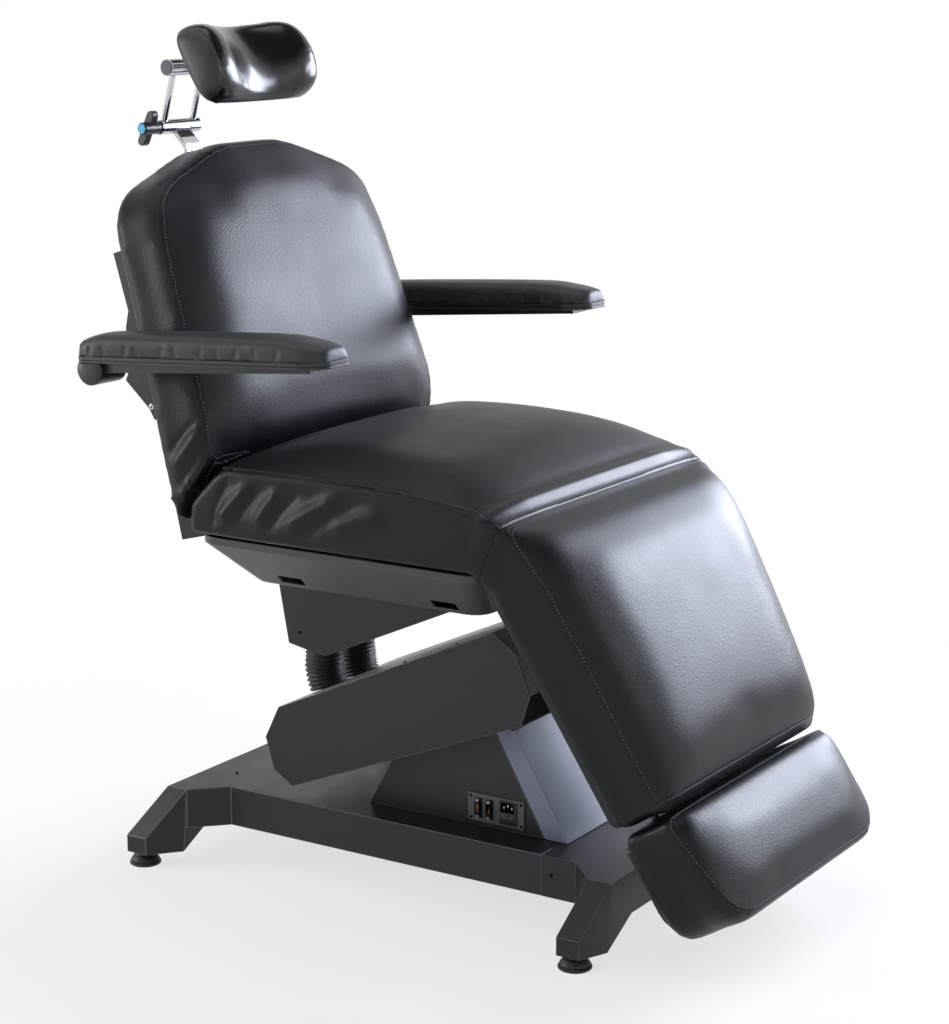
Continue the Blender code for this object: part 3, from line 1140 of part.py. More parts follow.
tray_z = (RAIL_Z[1] + GAP, RAIL_Z[1] + GAP + TRAY_THICK)
pad_low = tray_z[1] + GAP
for side_name, side_sign in SIDES:
    armrest = f"armrest_{side_name}"
    middle_y = side_sign * ARMREST_Y
    rail = part(f"armrest_rail_{side_name}", block(RAIL_X, (middle_y - RAIL_HALF, middle_y + RAIL_HALF), RAIL_Z),
                armrest, BLACK_PLASTIC, ARMREST_FRAME)
    join(rail, across(BOSS_RADIUS, (0, 0), (middle_y - BOSS_HALF, middle_y + BOSS_HALF)))
    cut(rail, block((-0.1, 0.1), (middle_y - 0.1, middle_y + 0.1), (RAIL_Z[1], 0.1)))
    cut(rail, across(ARMREST_PIN + RUN, (0, 0), (middle_y - 0.1, middle_y + 0.1)))
    tray_outline = [(x, y + middle_y) for x, y in rounded(armrest_outline(0.004))]
    part(f"armrest_tray_{side_name}", plate(tray_outline, tray_z, "Z"), armrest, BLACK_PLASTIC, ARMREST_FRAME)
    pad_outline = split(rounded(armrest_outline(0), 3), 0.060)
    part(f"armrest_pad_{side_name}", pad(pad_outline, pad_low, lambda v: PAD_THICK, PAD_CROWN, 0.0015,
                                         lambda u, v, n, y=middle_y: armrest_point(u, v, n, y)), armrest, LEATHER, ARMREST_FRAME)


# Headrest: bent bar, link of two rods, pad bracket, pillow and wing knob

def strip(points, thick):
    """Outline of a bent strip of constant thickness along an X-Z path."""
    left, right = [], []
    for i, point in enumerate(points):
        here = Vector(point)
        before = (here - Vector(points[i - 1])).normalized() if i else None
        after = (Vector(points[i + 1]) - here).normalized() if i + 1 < len(points) else None
        run = ((before or after) + (after or before)).normalized()
        normal = Vector((-run.y, run.x)) * thick / 2 / run.dot(before or after)
        left.append(tuple(here + normal))
        right.append(tuple(here - normal))
    return left + right[::-1]


bar = part("headrest_bar", plate(strip([(BAR_X, BAR_LOW), (BAR_X, BAR_BEND), BARREL], BAR_THICK), (-BAR_HALF, BAR_HALF)),
           "headrest_post", CHROME, BACK_FRAME)
join(bar, across(BARREL_RADIUS, BARREL, (-BARREL_MIDDLE, BARREL_MIDDLE)))
cut(bar, across(AXLE + RUN, BARREL, (-0.1, 0.1), 12))

for side_name, side_sign in SIDES:
    rod_y = side_sign * LINK_ROD_Y
    side_link = part(f"headrest_link_{side_name}", across(
        BARREL_RADIUS, (0, 0), mirrored((BARREL_MIDDLE + GAP, BARREL_END), side_sign)),
        "headrest_link", CHROME, HEAD_LINK_FRAME)
    join(side_link, across(UPPER_RADIUS, (0, LINK_LENGTH), mirrored((UPPER_MIDDLE + GAP, UPPER_END), side_sign)))
    join(side_link, shaft(LINK_ROD, (0, rod_y, 0.005), (0, rod_y, LINK_LENGTH - 0.005), 12))
    for place in ((0, 0), (0, LINK_LENGTH)):
        cut(side_link, across(AXLE + RUN, place, mirrored((0, 0.1), side_sign), 12))

upper_in_pillow = PILLOW_FRAME.inverted() @ Vector((UPPER_AT[0], 0, UPPER_AT[1]))
upper = (upper_in_pillow.x, upper_in_pillow.z)
plate_face = PILLOW_REAR - GAP
bracket = part("headrest_pad_bracket", across(UPPER_RADIUS, upper, (-UPPER_MIDDLE, UPPER_MIDDLE)),
               "headrest_pad", CHROME, PILLOW_FRAME)
join(bracket, across(AXLE, upper, (0.001 - UPPER_END, UPPER_END - 0.001), 12))
join(bracket, block((plate_face - PLATE_THICK, plate_face), (-0.075, 0.075), (-0.040, 0.035)))
for side_sign in (-1, 1):
    rod_y = side_sign * 0.018
    route = [(upper[0] + 0.004, rod_y, upper[1] - 0.004), (upper[0] + 0.045, rod_y, upper[1] - 0.026),
             (plate_face - 0.030, rod_y, 0.0), (plate_face - 0.004, rod_y, -0.006)]
    join(bracket, swept(route, [0.004] * len(route), 2))

SECTION = 20                # points round the pillow


def pillow_ring(y, height, rear, front):
    """Bean-shaped section of the pillow at one Y: flat towards the plate, round at top and bottom."""
    ring = []
    for k in range(SECTION):
        angle = 2 * pi * k / SECTION
        side = cos(angle)
        reach = front if side > 0 else -rear
        ring.append((abs(side) ** 0.7 * reach * (1 if side > 0 else -1), y, height * sin(angle)))
    return ring


PILLOW_STATIONS = ((1.0, 0.55, 0.30, 0.50), (0.985, 0.78, 0.55, 0.72), (0.93, 0.95, 0.80, 0.92), (0.80, 1.0, 1.0, 1.0),
                   (0.64, 0.99, 1.0, 0.93), (0.46, 0.96, 1.0, 0.76), (0.26, 0.94, 1.0, 0.64), (0.08, 0.93, 1.0, 0.60))
pillow_rings = [pillow_ring(-y * PILLOW_HALF, tall * PILLOW_HEIGHT, rear * PILLOW_REAR, out * PILLOW_WING)
                for y, tall, rear, out in PILLOW_STATIONS]
pillow_rings += [[(x, -y, z) for x, y, z in ring] for ring in reversed(pillow_rings)]
part("headrest_cushion", loft(pillow_rings), "headrest_pad", GLOSS_LEATHER, PILLOW_FRAME)

knob_frame = lean(BARREL_AT, KNOB_TURN)
knob = part("wing_knob", across(KNOB_HUB, (0, 0), (KNOB_END, -BARREL_END - GAP)), "knob", BLACK_PLASTIC, knob_frame)
join(knob, across(AXLE, (0, 0), (KNOB_END + 0.01, BARREL_END - 0.001), 12))
join(knob, plate(capsule((0, -KNOB_WING + 0.007), (0, KNOB_WING - 0.007), 0.007, 0.007), KNOB_WING_Y))
part("knob_cap", across(CAP_RADIUS, (0, 0), (KNOB_END - GAP - CAP_THICK, KNOB_END - GAP)), "knob", BLUE_PLASTIC, knob_frame)

EMPTIES["base"][0].location.x = BASE_MIDDLE_X
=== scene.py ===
import math

import bmesh
import bpy
import numpy as np
from mathutils import Matrix, Vector


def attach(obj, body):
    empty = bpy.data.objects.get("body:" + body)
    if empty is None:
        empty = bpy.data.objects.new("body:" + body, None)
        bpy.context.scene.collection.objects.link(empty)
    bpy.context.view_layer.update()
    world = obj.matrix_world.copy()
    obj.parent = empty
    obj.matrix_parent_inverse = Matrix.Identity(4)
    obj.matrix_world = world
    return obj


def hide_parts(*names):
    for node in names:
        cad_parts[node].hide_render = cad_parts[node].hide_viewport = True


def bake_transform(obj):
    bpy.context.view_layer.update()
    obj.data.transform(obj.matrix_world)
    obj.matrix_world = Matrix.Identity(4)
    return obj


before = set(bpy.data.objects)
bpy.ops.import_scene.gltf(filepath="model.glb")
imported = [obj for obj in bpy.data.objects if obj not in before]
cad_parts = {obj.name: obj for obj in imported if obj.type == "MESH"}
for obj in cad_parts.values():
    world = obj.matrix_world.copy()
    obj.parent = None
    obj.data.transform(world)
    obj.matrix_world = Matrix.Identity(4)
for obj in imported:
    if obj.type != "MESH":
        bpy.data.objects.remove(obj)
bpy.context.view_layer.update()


# Studio: a round white cove that the chair stands in, painted board with a matt face, open above.
# A bright softbox with a shorter wing stands on the far side ahead, a wide one hangs overhead, a narrow
# one stands behind on the near side, and weak fills stand in front and near.

def linear(hex_code):
    """Linear RGBA of an sRGB hex colour."""
    values = [int(hex_code[i:i + 2], 16) / 255 for i in (1, 3, 5)]
    return tuple(v / 12.92 if v <= 0.04045 else ((v + 0.055) / 1.055) ** 2.4 for v in values) + (1.0,)


def add(tree, kind, inputs=None, **settings):
    """Adds a node with its settings, and sets or links its inputs."""
    made = tree.nodes.new(kind)
    for key, value in settings.items():
        setattr(made, key, value)
    for key, value in (inputs or {}).items():
        if isinstance(value, bpy.types.NodeSocket):
            tree.links.new(value, made.inputs[key])
        else:
            made.inputs[key].default_value = value
    return made


scene = bpy.context.scene
scene.view_settings.view_transform = "Standard"

VIEW_AZIMUTH = math.radians(32.458)
VIEW_ELEVATION = math.radians(12.433)
VIEW_PLACE = (1.9964, -3.1476, 1.4000)
VIEW_LENS = 86.95
looking = Vector((-math.sin(VIEW_AZIMUTH) * math.cos(VIEW_ELEVATION),
                  math.cos(VIEW_AZIMUTH) * math.cos(VIEW_ELEVATION), -math.sin(VIEW_ELEVATION)))
camera_data = bpy.data.cameras.new("camera")
camera_data.lens = VIEW_LENS
camera_data.sensor_width = 36
camera = bpy.data.objects.new("camera", camera_data)
camera.location = VIEW_PLACE
camera.rotation_euler = looking.to_track_quat("-Z", "Y").to_euler()
scene.collection.objects.link(camera)
scene.camera = camera


def verts_of(geom):
    """Vertices among the elements that a bmesh operator gives."""
    return [g for g in geom if isinstance(g, bmesh.types.BMVert)]


COVE_RADIUS = 9.0
COVE_RISE = 7.0
COVE_CURVE = 3.0
bm = bmesh.new()
bmesh.ops.create_circle(bm, cap_ends=True, segments=96, radius=COVE_RADIUS)
corner = [e for e in bm.edges if len(e.link_faces) == 1]
risen = bmesh.ops.extrude_edge_only(bm, edges=corner)["geom"]
bmesh.ops.translate(bm, verts=verts_of(risen), vec=(0, 0, COVE_RISE))
bmesh.ops.bevel(bm, geom=corner, offset=COVE_CURVE, segments=24, profile=0.5, affect="EDGES", material=-1)
bmesh.ops.recalc_face_normals(bm, faces=bm.faces)
if max(bm.faces, key=lambda f: f.calc_area()).normal.z < 0:
    bmesh.ops.reverse_faces(bm, faces=bm.faces)
cove_mesh = bpy.data.meshes.new("studio_cove")
bm.to_mesh(cove_mesh)
bm.free()
for face in cove_mesh.polygons:
    face.use_smooth = True
cove = bpy.data.objects.new("studio_cove", cove_mesh)
scene.collection.objects.link(cove)

# Matt white paint. To the camera, and in reflections, it is the even white of a lit cove, less so round
# the chair, where it takes the chair's shadow.
SHADOW_NEAR, SHADOW_FAR = 0.5, 1.8
SHADOW_WHITE = 0.70
painted_board = bpy.data.materials.new("matt_white_painted_board")
painted_board.use_nodes = True
tree = painted_board.node_tree
tree.nodes.clear()
path = add(tree, "ShaderNodeLightPath")
seen = path.outputs["Is Camera Ray"]
for ray in ("Is Glossy Ray", "Is Transmission Ray"):
    seen = add(tree, "ShaderNodeMath", {0: seen, 1: path.outputs[ray]}, operation="MAXIMUM").outputs[0]
floor_place = add(tree, "ShaderNodeTexCoord").outputs["Object"]
away = add(tree, "ShaderNodeVectorMath", {0: floor_place}, operation="LENGTH")
white = add(tree, "ShaderNodeMapRange", {"Value": away.outputs["Value"], "From Min": SHADOW_NEAR,
                                         "From Max": SHADOW_FAR, "To Min": SHADOW_WHITE, "To Max": 1.0},
            interpolation_type="SMOOTHSTEP")
share = add(tree, "ShaderNodeMath", {0: seen, 1: white.outputs[0]}, operation="MULTIPLY")
paint = add(tree, "ShaderNodeBsdfDiffuse", {"Color": linear("#f4f4f4")})
glow = add(tree, "ShaderNodeEmission", {"Color": linear("#ffffff"), "Strength": 1.0})
mixed = add(tree, "ShaderNodeMixShader", {0: share.outputs[0], 1: paint.outputs[0], 2: glow.outputs[0]})
add(tree, "ShaderNodeOutputMaterial", {"Surface": mixed.outputs[0]})
cove_mesh.materials.append(painted_board)

ROOM_LIGHT = 0.11
world = bpy.data.worlds.new("studio")
world.use_nodes = True
world.node_tree.nodes["Background"].inputs["Color"].default_value = linear("#d9dde3")
world.node_tree.nodes["Background"].inputs["Strength"].default_value = ROOM_LIGHT
scene.world = world

# Each lamp has a name, a place, a point that it faces, a width and height, watts and a tint.
SOFTBOXES = (("far_side_softbox", (1.05, 3.06, 1.565), (-0.08, 0.16, 0.805), (1.78, 1.61), 183, "#e6ecff"),
             ("far_wing_softbox", (2.32, 2.49, 1.880), (1.19, -0.41, 1.120), (1.00, 0.96), 53, "#e6ecff"),
             ("overhead_softbox", (-0.5, -0.5, 3.2), (0.0, 0.0, 0.6), (3.4, 3.2), 46, "#ffffff"),
             ("front_softbox", (3.6, 0.6, 1.7), (0.0, 0.0, 0.7), (1.2, 1.8), 10, "#ffffff"),
             ("rear_softbox", (-3.0, -1.9, 1.1), (-0.2, -0.3, 0.75), (0.8, 1.5), 34, "#ffffff"),
             ("near_fill", (-1.2, -3.6, 1.9), (0.0, 0.0, 0.7), (2.0, 1.6), 3, "#ffffff"))
for lamp_name, place, aim, size, power, tint in SOFTBOXES:
    lamp = bpy.data.lights.new(lamp_name, "AREA")
    lamp.shape = "RECTANGLE"
    lamp.size, lamp.size_y = size
    lamp.energy = power
    lamp.color = linear(tint)[:3]
    lamp_object = bpy.data.objects.new(lamp_name, lamp)
    lamp_object.location = place
    lamp_object.rotation_euler = (Vector(aim) - Vector(place)).to_track_quat("-Z", "Y").to_euler()
    lamp_object.visible_camera = False
    scene.collection.objects.link(lamp_object)


# Base: a welded sheet-steel platform with spread legs, and a front section that is bolted on.
# Folded edges have a small radius, and the whole is powder coated a dark blue-grey.

def grained(name, cell, depth, rough, tones, patch, **sockets):
    """Material with a cast or sprayed texture: pebbles of a size and depth, and patches of gloss and tone."""
    material = bpy.data.materials.new(name)
    material.use_nodes = True
    tree = material.node_tree
    shader = tree.nodes["Principled BSDF"]
    for key, value in sockets.items():
        shader.inputs[key].default_value = value
    place = add(tree, "ShaderNodeTexCoord").outputs["Object"]
    cells = add(tree, "ShaderNodeTexVoronoi", {"Vector": place, "Scale": 1 / cell}, feature="SMOOTH_F1")
    cloud = add(tree, "ShaderNodeTexNoise",
                {"Vector": place, "Scale": 1 / patch, "Detail": 4.0, "Roughness": 0.6}).outputs["Fac"]
    gloss = add(tree, "ShaderNodeMapRange", {"Value": cloud, "From Min": 0.3, "From Max": 0.7,
                                             "To Min": rough[0], "To Max": rough[1]})
    tone = add(tree, "ShaderNodeMix", {"Factor": cloud, "A": linear(tones[0]), "B": linear(tones[1])},
               data_type="RGBA")
    bump = add(tree, "ShaderNodeBump", {"Height": cells.outputs["Distance"], "Strength": 0.5,
                                        "Distance": depth})
    tree.links.new(gloss.outputs[0], shader.inputs["Roughness"])
    tree.links.new(tone.outputs["Result"], shader.inputs["Base Color"])
    tree.links.new(bump.outputs[0], shader.inputs["Normal"])
    return material


def varied(material, share, colour, gloss):
    """Mixes another colour and gloss into a material by a share, which is a socket of its tree."""
    tree = material.node_tree
    shader = tree.nodes["Principled BSDF"]
    tone = add(tree, "ShaderNodeMix", {"Factor": share, "A": shader.inputs["Base Color"].links[0].from_socket,
                                       "B": linear(colour)}, data_type="RGBA")
    rough = add(tree, "ShaderNodeMix",
                {"Factor": share, "A": shader.inputs["Roughness"].links[0].from_socket, "B": gloss})
    tree.links.new(tone.outputs["Result"], shader.inputs["Base Color"])
    tree.links.new(rough.outputs["Result"], shader.inputs["Roughness"])


def painted_edge_highlight(material, colour, gloss):
    """Paints a highlight on rounded edges: another colour and gloss that stand for the light they catch."""
    edge_highlight_share = add(material.node_tree, "ShaderNodeAttribute", attribute_name="painted_edge_highlight").outputs["Fac"]
    varied(material, edge_highlight_share, colour, gloss)


# Powder coat: baked polyester with a fine orange peel, satin. The peel is drawn 2 mm wide so that it shows.
# Folded edges are painted lighter and glossier, a painted highlight along them.
powder_coat = grained("powder_coated_steel", 0.002, 0.0002, (0.36, 0.46),
                      ("#141519", "#19191e"), 0.09, IOR=1.45)
# The colour and gloss of the painted highlight along folded edges.
painted_edge_highlight(powder_coat, "#5e6068", 0.30)


def merged(node, join=0.00002):
    """Bmesh copy of a CAD node, its loose triangles joined into flat faces."""
    bm = bmesh.new()
    bm.from_mesh(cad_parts[node].data)
    bmesh.ops.remove_doubles(bm, verts=bm.verts, dist=join)
    bmesh.ops.dissolve_limit(bm, angle_limit=math.radians(0.6), verts=bm.verts, edges=bm.edges)
    return bm


def fold(bm, radius, segments=3, least=30):
    """Rounds the edges of a bmesh that are sharper than an angle, and marks the rounded faces for a painted
    highlight.
    """
    highlight_mark = bm.faces.layers.float.get("painted_edge_highlight") or bm.faces.layers.float.new("painted_edge_highlight")
    sharp = [e for e in bm.edges if len(e.link_faces) == 2 and e.calc_face_angle() > math.radians(least)]
    rounded = bmesh.ops.bevel(bm, geom=sharp, offset=radius, offset_type="OFFSET", segments=segments,
                              profile=0.5, affect="EDGES", material=-1, clamp_overlap=True)
    # These faces take the painted edge highlight.
    for face in rounded["faces"]:
        face[highlight_mark] = 1.0


def piece(name, bm, body, material, stands_for=(), smooth=40):
    """Makes an object of a bmesh that rides on a body and may stand for CAD nodes."""
    mesh = bpy.data.meshes.new(name)
    bm.to_mesh(mesh)
    bm.free()
    for face in mesh.polygons:
        face.use_smooth = True
    mesh.set_sharp_from_angle(angle=math.radians(smooth))
    mesh.materials.append(material)
    made = bpy.data.objects.new(name, mesh)
    scene.collection.objects.link(made)
    if body:
        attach(made, body)
    if stands_for:
        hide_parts(*stands_for)
    return made


def weighted(made):
    """Keeps flat faces flat in shading beside rounded edges."""
    normals = made.modifiers.new("flat_faces", "WEIGHTED_NORMAL")
    normals.keep_sharp = True
    return made


def pressed(name, node, body, material, slot, radius, segments=3, join=0.00002):
    """Piece that stands for one CAD node, with its edges rounded."""
    bm = merged(node, join)
    fold(bm, radius, segments)
    return weighted(piece(name, bm, body, material, (node,)))


SHEET_EDGE = 0.0012


def sheet(name, node, body, radius=SHEET_EDGE, **options):
    """Pressed piece of sheet steel with the dark powder coat."""
    return pressed(name, node, body, powder_coat, "dark_powder_coat", radius, **options)


SHORT_EDGES = 0.0024
PLATFORM_EDGE = 0.0028
sheet("platform", "base_frame", "base", PLATFORM_EDGE, join=SHORT_EDGES)
sheet("platform_front", "base_front_section", "base", PLATFORM_EDGE, join=SHORT_EDGES)


# Levelling feet: a moulded rubber pad on a threaded steel stud with a lock nut, screwed up into each
# leg's tip. The pad flares to a wide rim on the floor.

def turned(bm, profile, place, steps=24):
    """Turns a profile of radius and height round the Z of a frame, as on a lathe."""
    verts = [bm.verts.new(place @ Vector((radius, 0, height))) for radius, height in profile]
    edges = [bm.edges.new(pair) for pair in zip(verts, verts[1:])]
    bmesh.ops.spin(bm, geom=verts + edges, cent=place.translation, axis=place.col[2].to_3d(),
                   angle=2 * math.pi, steps=steps, use_merge=True)


def closed(bm):
    """Merges doubled vertices and turns the faces outwards."""
    bmesh.ops.remove_doubles(bm, verts=bm.verts, dist=0.00001)
    bmesh.ops.recalc_face_normals(bm, faces=bm.faces)
    return bm


# Moulded rubber: a dull black skin with a 1 mm mould grain, which gives soft grey lights and no clear ones.
rubber = grained("moulded_rubber", 0.0010, 0.00006, (0.45, 0.58), ("#101113", "#16171a"), 0.03, IOR=1.5)
# Turned steel: bare grey metal with blurred reflections. Its grain is drawn 1.2 mm wide so that it shows.
steel = grained("turned_steel", 0.0012, 0.00005, (0.28, 0.42), ("#8f9296", "#a9acb0"), 0.05, Metallic=1.0)

FOOT_PAD = ((0, 0.0018), (0.0200, 0.0012), (0.0232, 0), (0.0250, 0.0014), (0.0250, 0.0042),
            (0.0238, 0.0054), (0.0226, 0.0060), (0.0230, 0.0076), (0.0220, 0.0096), (0.0188, 0.0142),
            (0.0172, 0.0158), (0.0100, 0.0160), (0, 0.0160))
FEET_X = {"front": 0.3366, "rear": -0.4574}
FEET_Y = {"right": -0.270, "left": 0.270}
STUD_RADIUS = 0.0060
STUD_LOW, STUD_HIGH = 0.0155, 0.034
THREAD_DEPTH = 0.0006
THREAD_STEP = 0.0007
NUT_RADIUS = 0.0115
NUT_HEIGHT = 0.0044
NUT_MIDDLE = 0.0184
threads = [(STUD_RADIUS - THREAD_DEPTH * (k % 2), STUD_LOW + THREAD_STEP * k) for k in range(27)]
studs = bmesh.new()
for end, foot_x in FEET_X.items():
    for side, foot_y in FEET_Y.items():
        bm = bmesh.new()
        place = Matrix.Translation((foot_x, foot_y, 0))
        turned(bm, FOOT_PAD, place, 36)
        piece(f"foot_pad_{end}_{side}", closed(bm), "base", rubber, (f"foot_{end}_{side}",))
        turned(studs, [(0, STUD_LOW)] + threads + [(0, STUD_HIGH)], place, 16)
        bmesh.ops.create_cone(studs, cap_ends=True, segments=6, radius1=NUT_RADIUS, radius2=NUT_RADIUS * 0.97,
                              depth=NUT_HEIGHT, matrix=place @ Matrix.Translation((0, 0, NUT_MIDDLE)))
piece("foot_studs", closed(studs), "base", steel, smooth=30)


# Platform screws: button-head steel screws with a socket hold the front section, and one closes a small
# hole on each side of the platform's top.

def facing(place, out):
    """Frame at a place whose Z points out."""
    return Matrix.Translation(place) @ Vector(out).to_track_quat("Z", "Y").to_matrix().to_4x4()


SCREW_SUNK = 0.0012
SCREW_HEAD = ((1, 0.1), (0.86, 0.4), (0.55, 0.55), (0.42, 0.55), (0.40, 0.05), (0, 0.05))


def screws(name, spots, radius, body, material):
    """Button-head screws at places, each with the direction that its head faces."""
    bm = bmesh.new()
    profile = [(0, -SCREW_SUNK), (radius, -SCREW_SUNK)] + [(r * radius, h * radius) for r, h in SCREW_HEAD]
    for place, out in spots:
        turned(bm, profile, facing(place, out), 12)
    return piece(name, closed(bm), body, material)


# Black oxide: dark metal with a dull gleam.
black_screw = grained("blackened_steel", 0.0008, 0.00004, (0.35, 0.45),
                      ("#1c1d20", "#26272a"), 0.01, Metallic=1.0)
PLATFORM_SCREW = 0.0032
section_spots = [((0.2484, side * 0.190, 0.0965), (0, side, 0)) for side in (-1, 1)]
top_spots = [((-0.3783, side * 0.1306, 0.1250), (0, 0, 1)) for side in (-1, 1)]
screws("platform_screws", section_spots + top_spots, PLATFORM_SCREW, "base", black_screw)


# Pedestal: a welded frame under two sheet-steel side covers and a sloping front cover, screwed on.
# The covers are powder coated as the base is, with edges folded to a small radius.

SIDES = ("right", "left")
NOSE_EDGE = 0.0018
for side in SIDES:
    sheet(f"pedestal_side_{side}", f"pedestal_cover_{side}", "base")
# The front cover has a smoother satin coat, painted paler than the other covers: a painted sheen for the
# light it catches.
sheen_painted_coat = grained("satin_steel_with_painted_sheen", 0.002, 0.00010, (0.30, 0.38),
                     ("#7c8194", "#858a9d"), 0.09, IOR=1.5)
# Its folded edges take a painted highlight that is paler still.
painted_edge_highlight(sheen_painted_coat, "#a9adb8", 0.25)
pressed("pedestal_nose", "pedestal_front_cover", "base", sheen_painted_coat, "dark_powder_coat", NOSE_EDGE)


# Connector panel: a painted plate screwed to the right cover, with two D-shaped sockets and the mains inlet.
# The sockets have blackened shells with tinned rims, black insulators, gilt pins and hexagon posts; the
# inlet is moulded black plastic.

# Panel paint: sprayed grey enamel, nearly flat, with a fine peel that softens what it reflects.
panel_paint = grained("painted_panel_grey", 0.0012, 0.00005, (0.40, 0.50),
                      ("#4d4f54", "#55575c"), 0.03, IOR=1.5)
# Tin plate: pale bright metal, a little clouded, with soft lights.
tin_plate = grained("tinned_steel", 0.0010, 0.00003, (0.22, 0.34),
                    ("#b4b6b8", "#c6c8ca"), 0.008, Metallic=1.0)
# Gilt brass: warm yellow metal with small bright lights.
gilt = grained("gilt_contact_brass", 0.0008, 0.00002, (0.25, 0.35),
               ("#b08a4e", "#c29a58"), 0.004, Metallic=1.0)
# Black ABS, moulded: a spark-eroded grain of 1.4 mm breaks reflections up into a satin sheen.
black_plastic = grained("moulded_black_abs", 0.0014, 0.00012, (0.34, 0.44),
                        ("#15161a", "#1b1c20"), 0.06, IOR=1.5)


def block(bm, low, high):
    """Adds a box between two corners."""
    low, high = Vector(low), Vector(high)
    place = Matrix.Translation((low + high) / 2) @ Matrix.Diagonal((*(high - low), 1.0))
    bmesh.ops.create_cube(bm, size=1.0, matrix=place)


PANEL_FACE = -0.1343
PANEL_MIDDLE = 0.1550
PANEL_OUT = (0, -1, 0)
PANEL_EDGE = 0.0005
SHELL_EDGE = 0.0006
BLOCK_EDGE = 0.0004
DRAWER_EDGE = 0.0005
SOCKETS_X = (0.0876, 0.1071)
INSULATOR_HALF = (0.0041, 0.0086)
CONTACT_PITCH = 0.0028
CONTACT_PIN = ((0, 0), (0.0006, 0), (0.0006, 0.0016), (0, 0.0020))
RIM_FACE = PANEL_FACE - 0.0064
RIM_OVAL = Matrix.Diagonal((0.0048, 1, 0.0094, 1)) @ Matrix.Rotation(math.pi / 2, 4, "X")
RIM_WIDTH = 0.0009
RIM_DEEP = 0.0030
POST_SPAN = 0.0125
HEX_POST = ((0, 0), (0.0026, 0), (0.0026, 0.0042), (0.0022, 0.0048), (0.0014, 0.0048), (0.0013, 0.0020),
            (0, 0.0020))
pressed("connector_panel", "connector_plate", "base", panel_paint, "panel_grey", PANEL_EDGE)
for socket in ("handset_socket", "foot_control_socket"):
    pressed(f"{socket}_shell", socket, "base", black_screw, "steel", SHELL_EDGE)
insulators, contacts, posts = bmesh.new(), bmesh.new(), bmesh.new()
for middle_x in SOCKETS_X:
    half_x, half_z = INSULATOR_HALF
    block(insulators, (middle_x - half_x, PANEL_FACE - 0.0036, PANEL_MIDDLE - half_z),
          (middle_x + half_x, PANEL_FACE + 0.0005, PANEL_MIDDLE + half_z))
    for column, count in ((-0.0014, 5), (0.0014, 4)):
        for k in range(count):
            height = PANEL_MIDDLE + (k - (count - 1) / 2) * CONTACT_PITCH
            place = (middle_x + column, PANEL_FACE - 0.0034, height)
            turned(contacts, CONTACT_PIN, facing(place, PANEL_OUT), 8)
    place = Matrix.Translation((middle_x, RIM_FACE, PANEL_MIDDLE)) @ RIM_OVAL
    rim = bmesh.ops.create_circle(posts, cap_ends=True, segments=20, radius=1.0, matrix=place)
    disc = [f for f in posts.faces if f.verts[0] in rim["verts"]]
    bmesh.ops.inset_region(posts, faces=disc, thickness=RIM_WIDTH, use_even_offset=True)
    bmesh.ops.delete(posts, geom=disc, context="FACES")
    band = [f for f in posts.faces if abs(f.calc_center_median().y - RIM_FACE) < 1e-5]
    back = bmesh.ops.extrude_face_region(posts, geom=band)["geom"]
    bmesh.ops.translate(posts, verts=verts_of(back), vec=(0, RIM_DEEP, 0))
    for end in (-1, 1):
        spot = facing((middle_x, PANEL_FACE - 0.0005, PANEL_MIDDLE + end * POST_SPAN), PANEL_OUT)
        turned(posts, HEX_POST, spot, 6)
fold(insulators, BLOCK_EDGE, 2)
piece("socket_insulators", insulators, "base", black_plastic)
piece("socket_contacts", closed(contacts), "base", gilt)
piece("socket_posts", closed(posts), "base", tin_plate, smooth=30)

pressed("mains_inlet_body", "mains_inlet", "base", black_plastic, "black_plastic", SHELL_EDGE)
INLET_MIDDLE = 0.1396
BLADE_HEIGHT = 0.1635
# The fuse drawer's front and its finger ledge: half width, how far the faces stand out, low and high edge.
DRAWER_BLOCKS = ((0.0118, 0.0029, 0.0015, 0.1384, 0.1530), (0.0040, 0.0036, 0.0025, 0.1510, 0.1524))
bm = bmesh.new()
for half, outer, inner, low, high in DRAWER_BLOCKS:
    block(bm, (INLET_MIDDLE - half, PANEL_FACE - outer, low), (INLET_MIDDLE + half, PANEL_FACE - inner, high))
fold(bm, DRAWER_EDGE, 2)
piece("fuse_drawer", bm, "base", black_plastic)
bm = bmesh.new()
for offset, rise in ((-0.007, -0.0010), (0, 0.0022), (0.007, -0.0010)):
    block(bm, (INLET_MIDDLE + offset - 0.0010, PANEL_FACE - 0.0005, BLADE_HEIGHT + rise - 0.0020),
          (INLET_MIDDLE + offset + 0.0010, PANEL_FACE + 0.0165, BLADE_HEIGHT + rise + 0.0020))
fold(bm, BLOCK_EDGE, 2)
piece("inlet_blades", bm, "base", tin_plate)
PANEL_SCREW = 0.0024
panel_spots = [((x, PANEL_FACE, z), PANEL_OUT) for x in (0.0735, 0.1627) for z in (0.1382, 0.1718)]
screws("panel_screws", panel_spots, PANEL_SCREW, "base", black_screw)


# Mechanism: welded frames, rods, pins and links inside the covers, of drawn and machined steel.
# They stay as the CAD made them, and take the finishes of the pieces round them.

INSIDE = {"pedestal_frame": powder_coat, "control_box": black_plastic, "lift_actuator_body": black_plastic,
          "lift_actuator_rod": steel, "lift_arm_frame": powder_coat, "front_pivot_shaft": steel,
          "rear_pivot_shaft": steel, "level_link": powder_coat, "carrier_frame": powder_coat,
          "seat_frame": powder_coat, "back_actuator_body": black_plastic, "leg_actuator_body": black_plastic,
          "knee_hinge_leaf": black_screw, "back_actuator_rod": steel, "leg_actuator_rod": steel}
for node, finish in INSIDE.items():
    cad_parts[node].data.materials.clear()
    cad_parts[node].data.materials.append(finish)


# Lift arm: a box of two flat side covers and a painted top plate, screwed to a welded arm.
# The side covers are powder coated sheet with clipped corners; the top plate is a lighter warm grey.

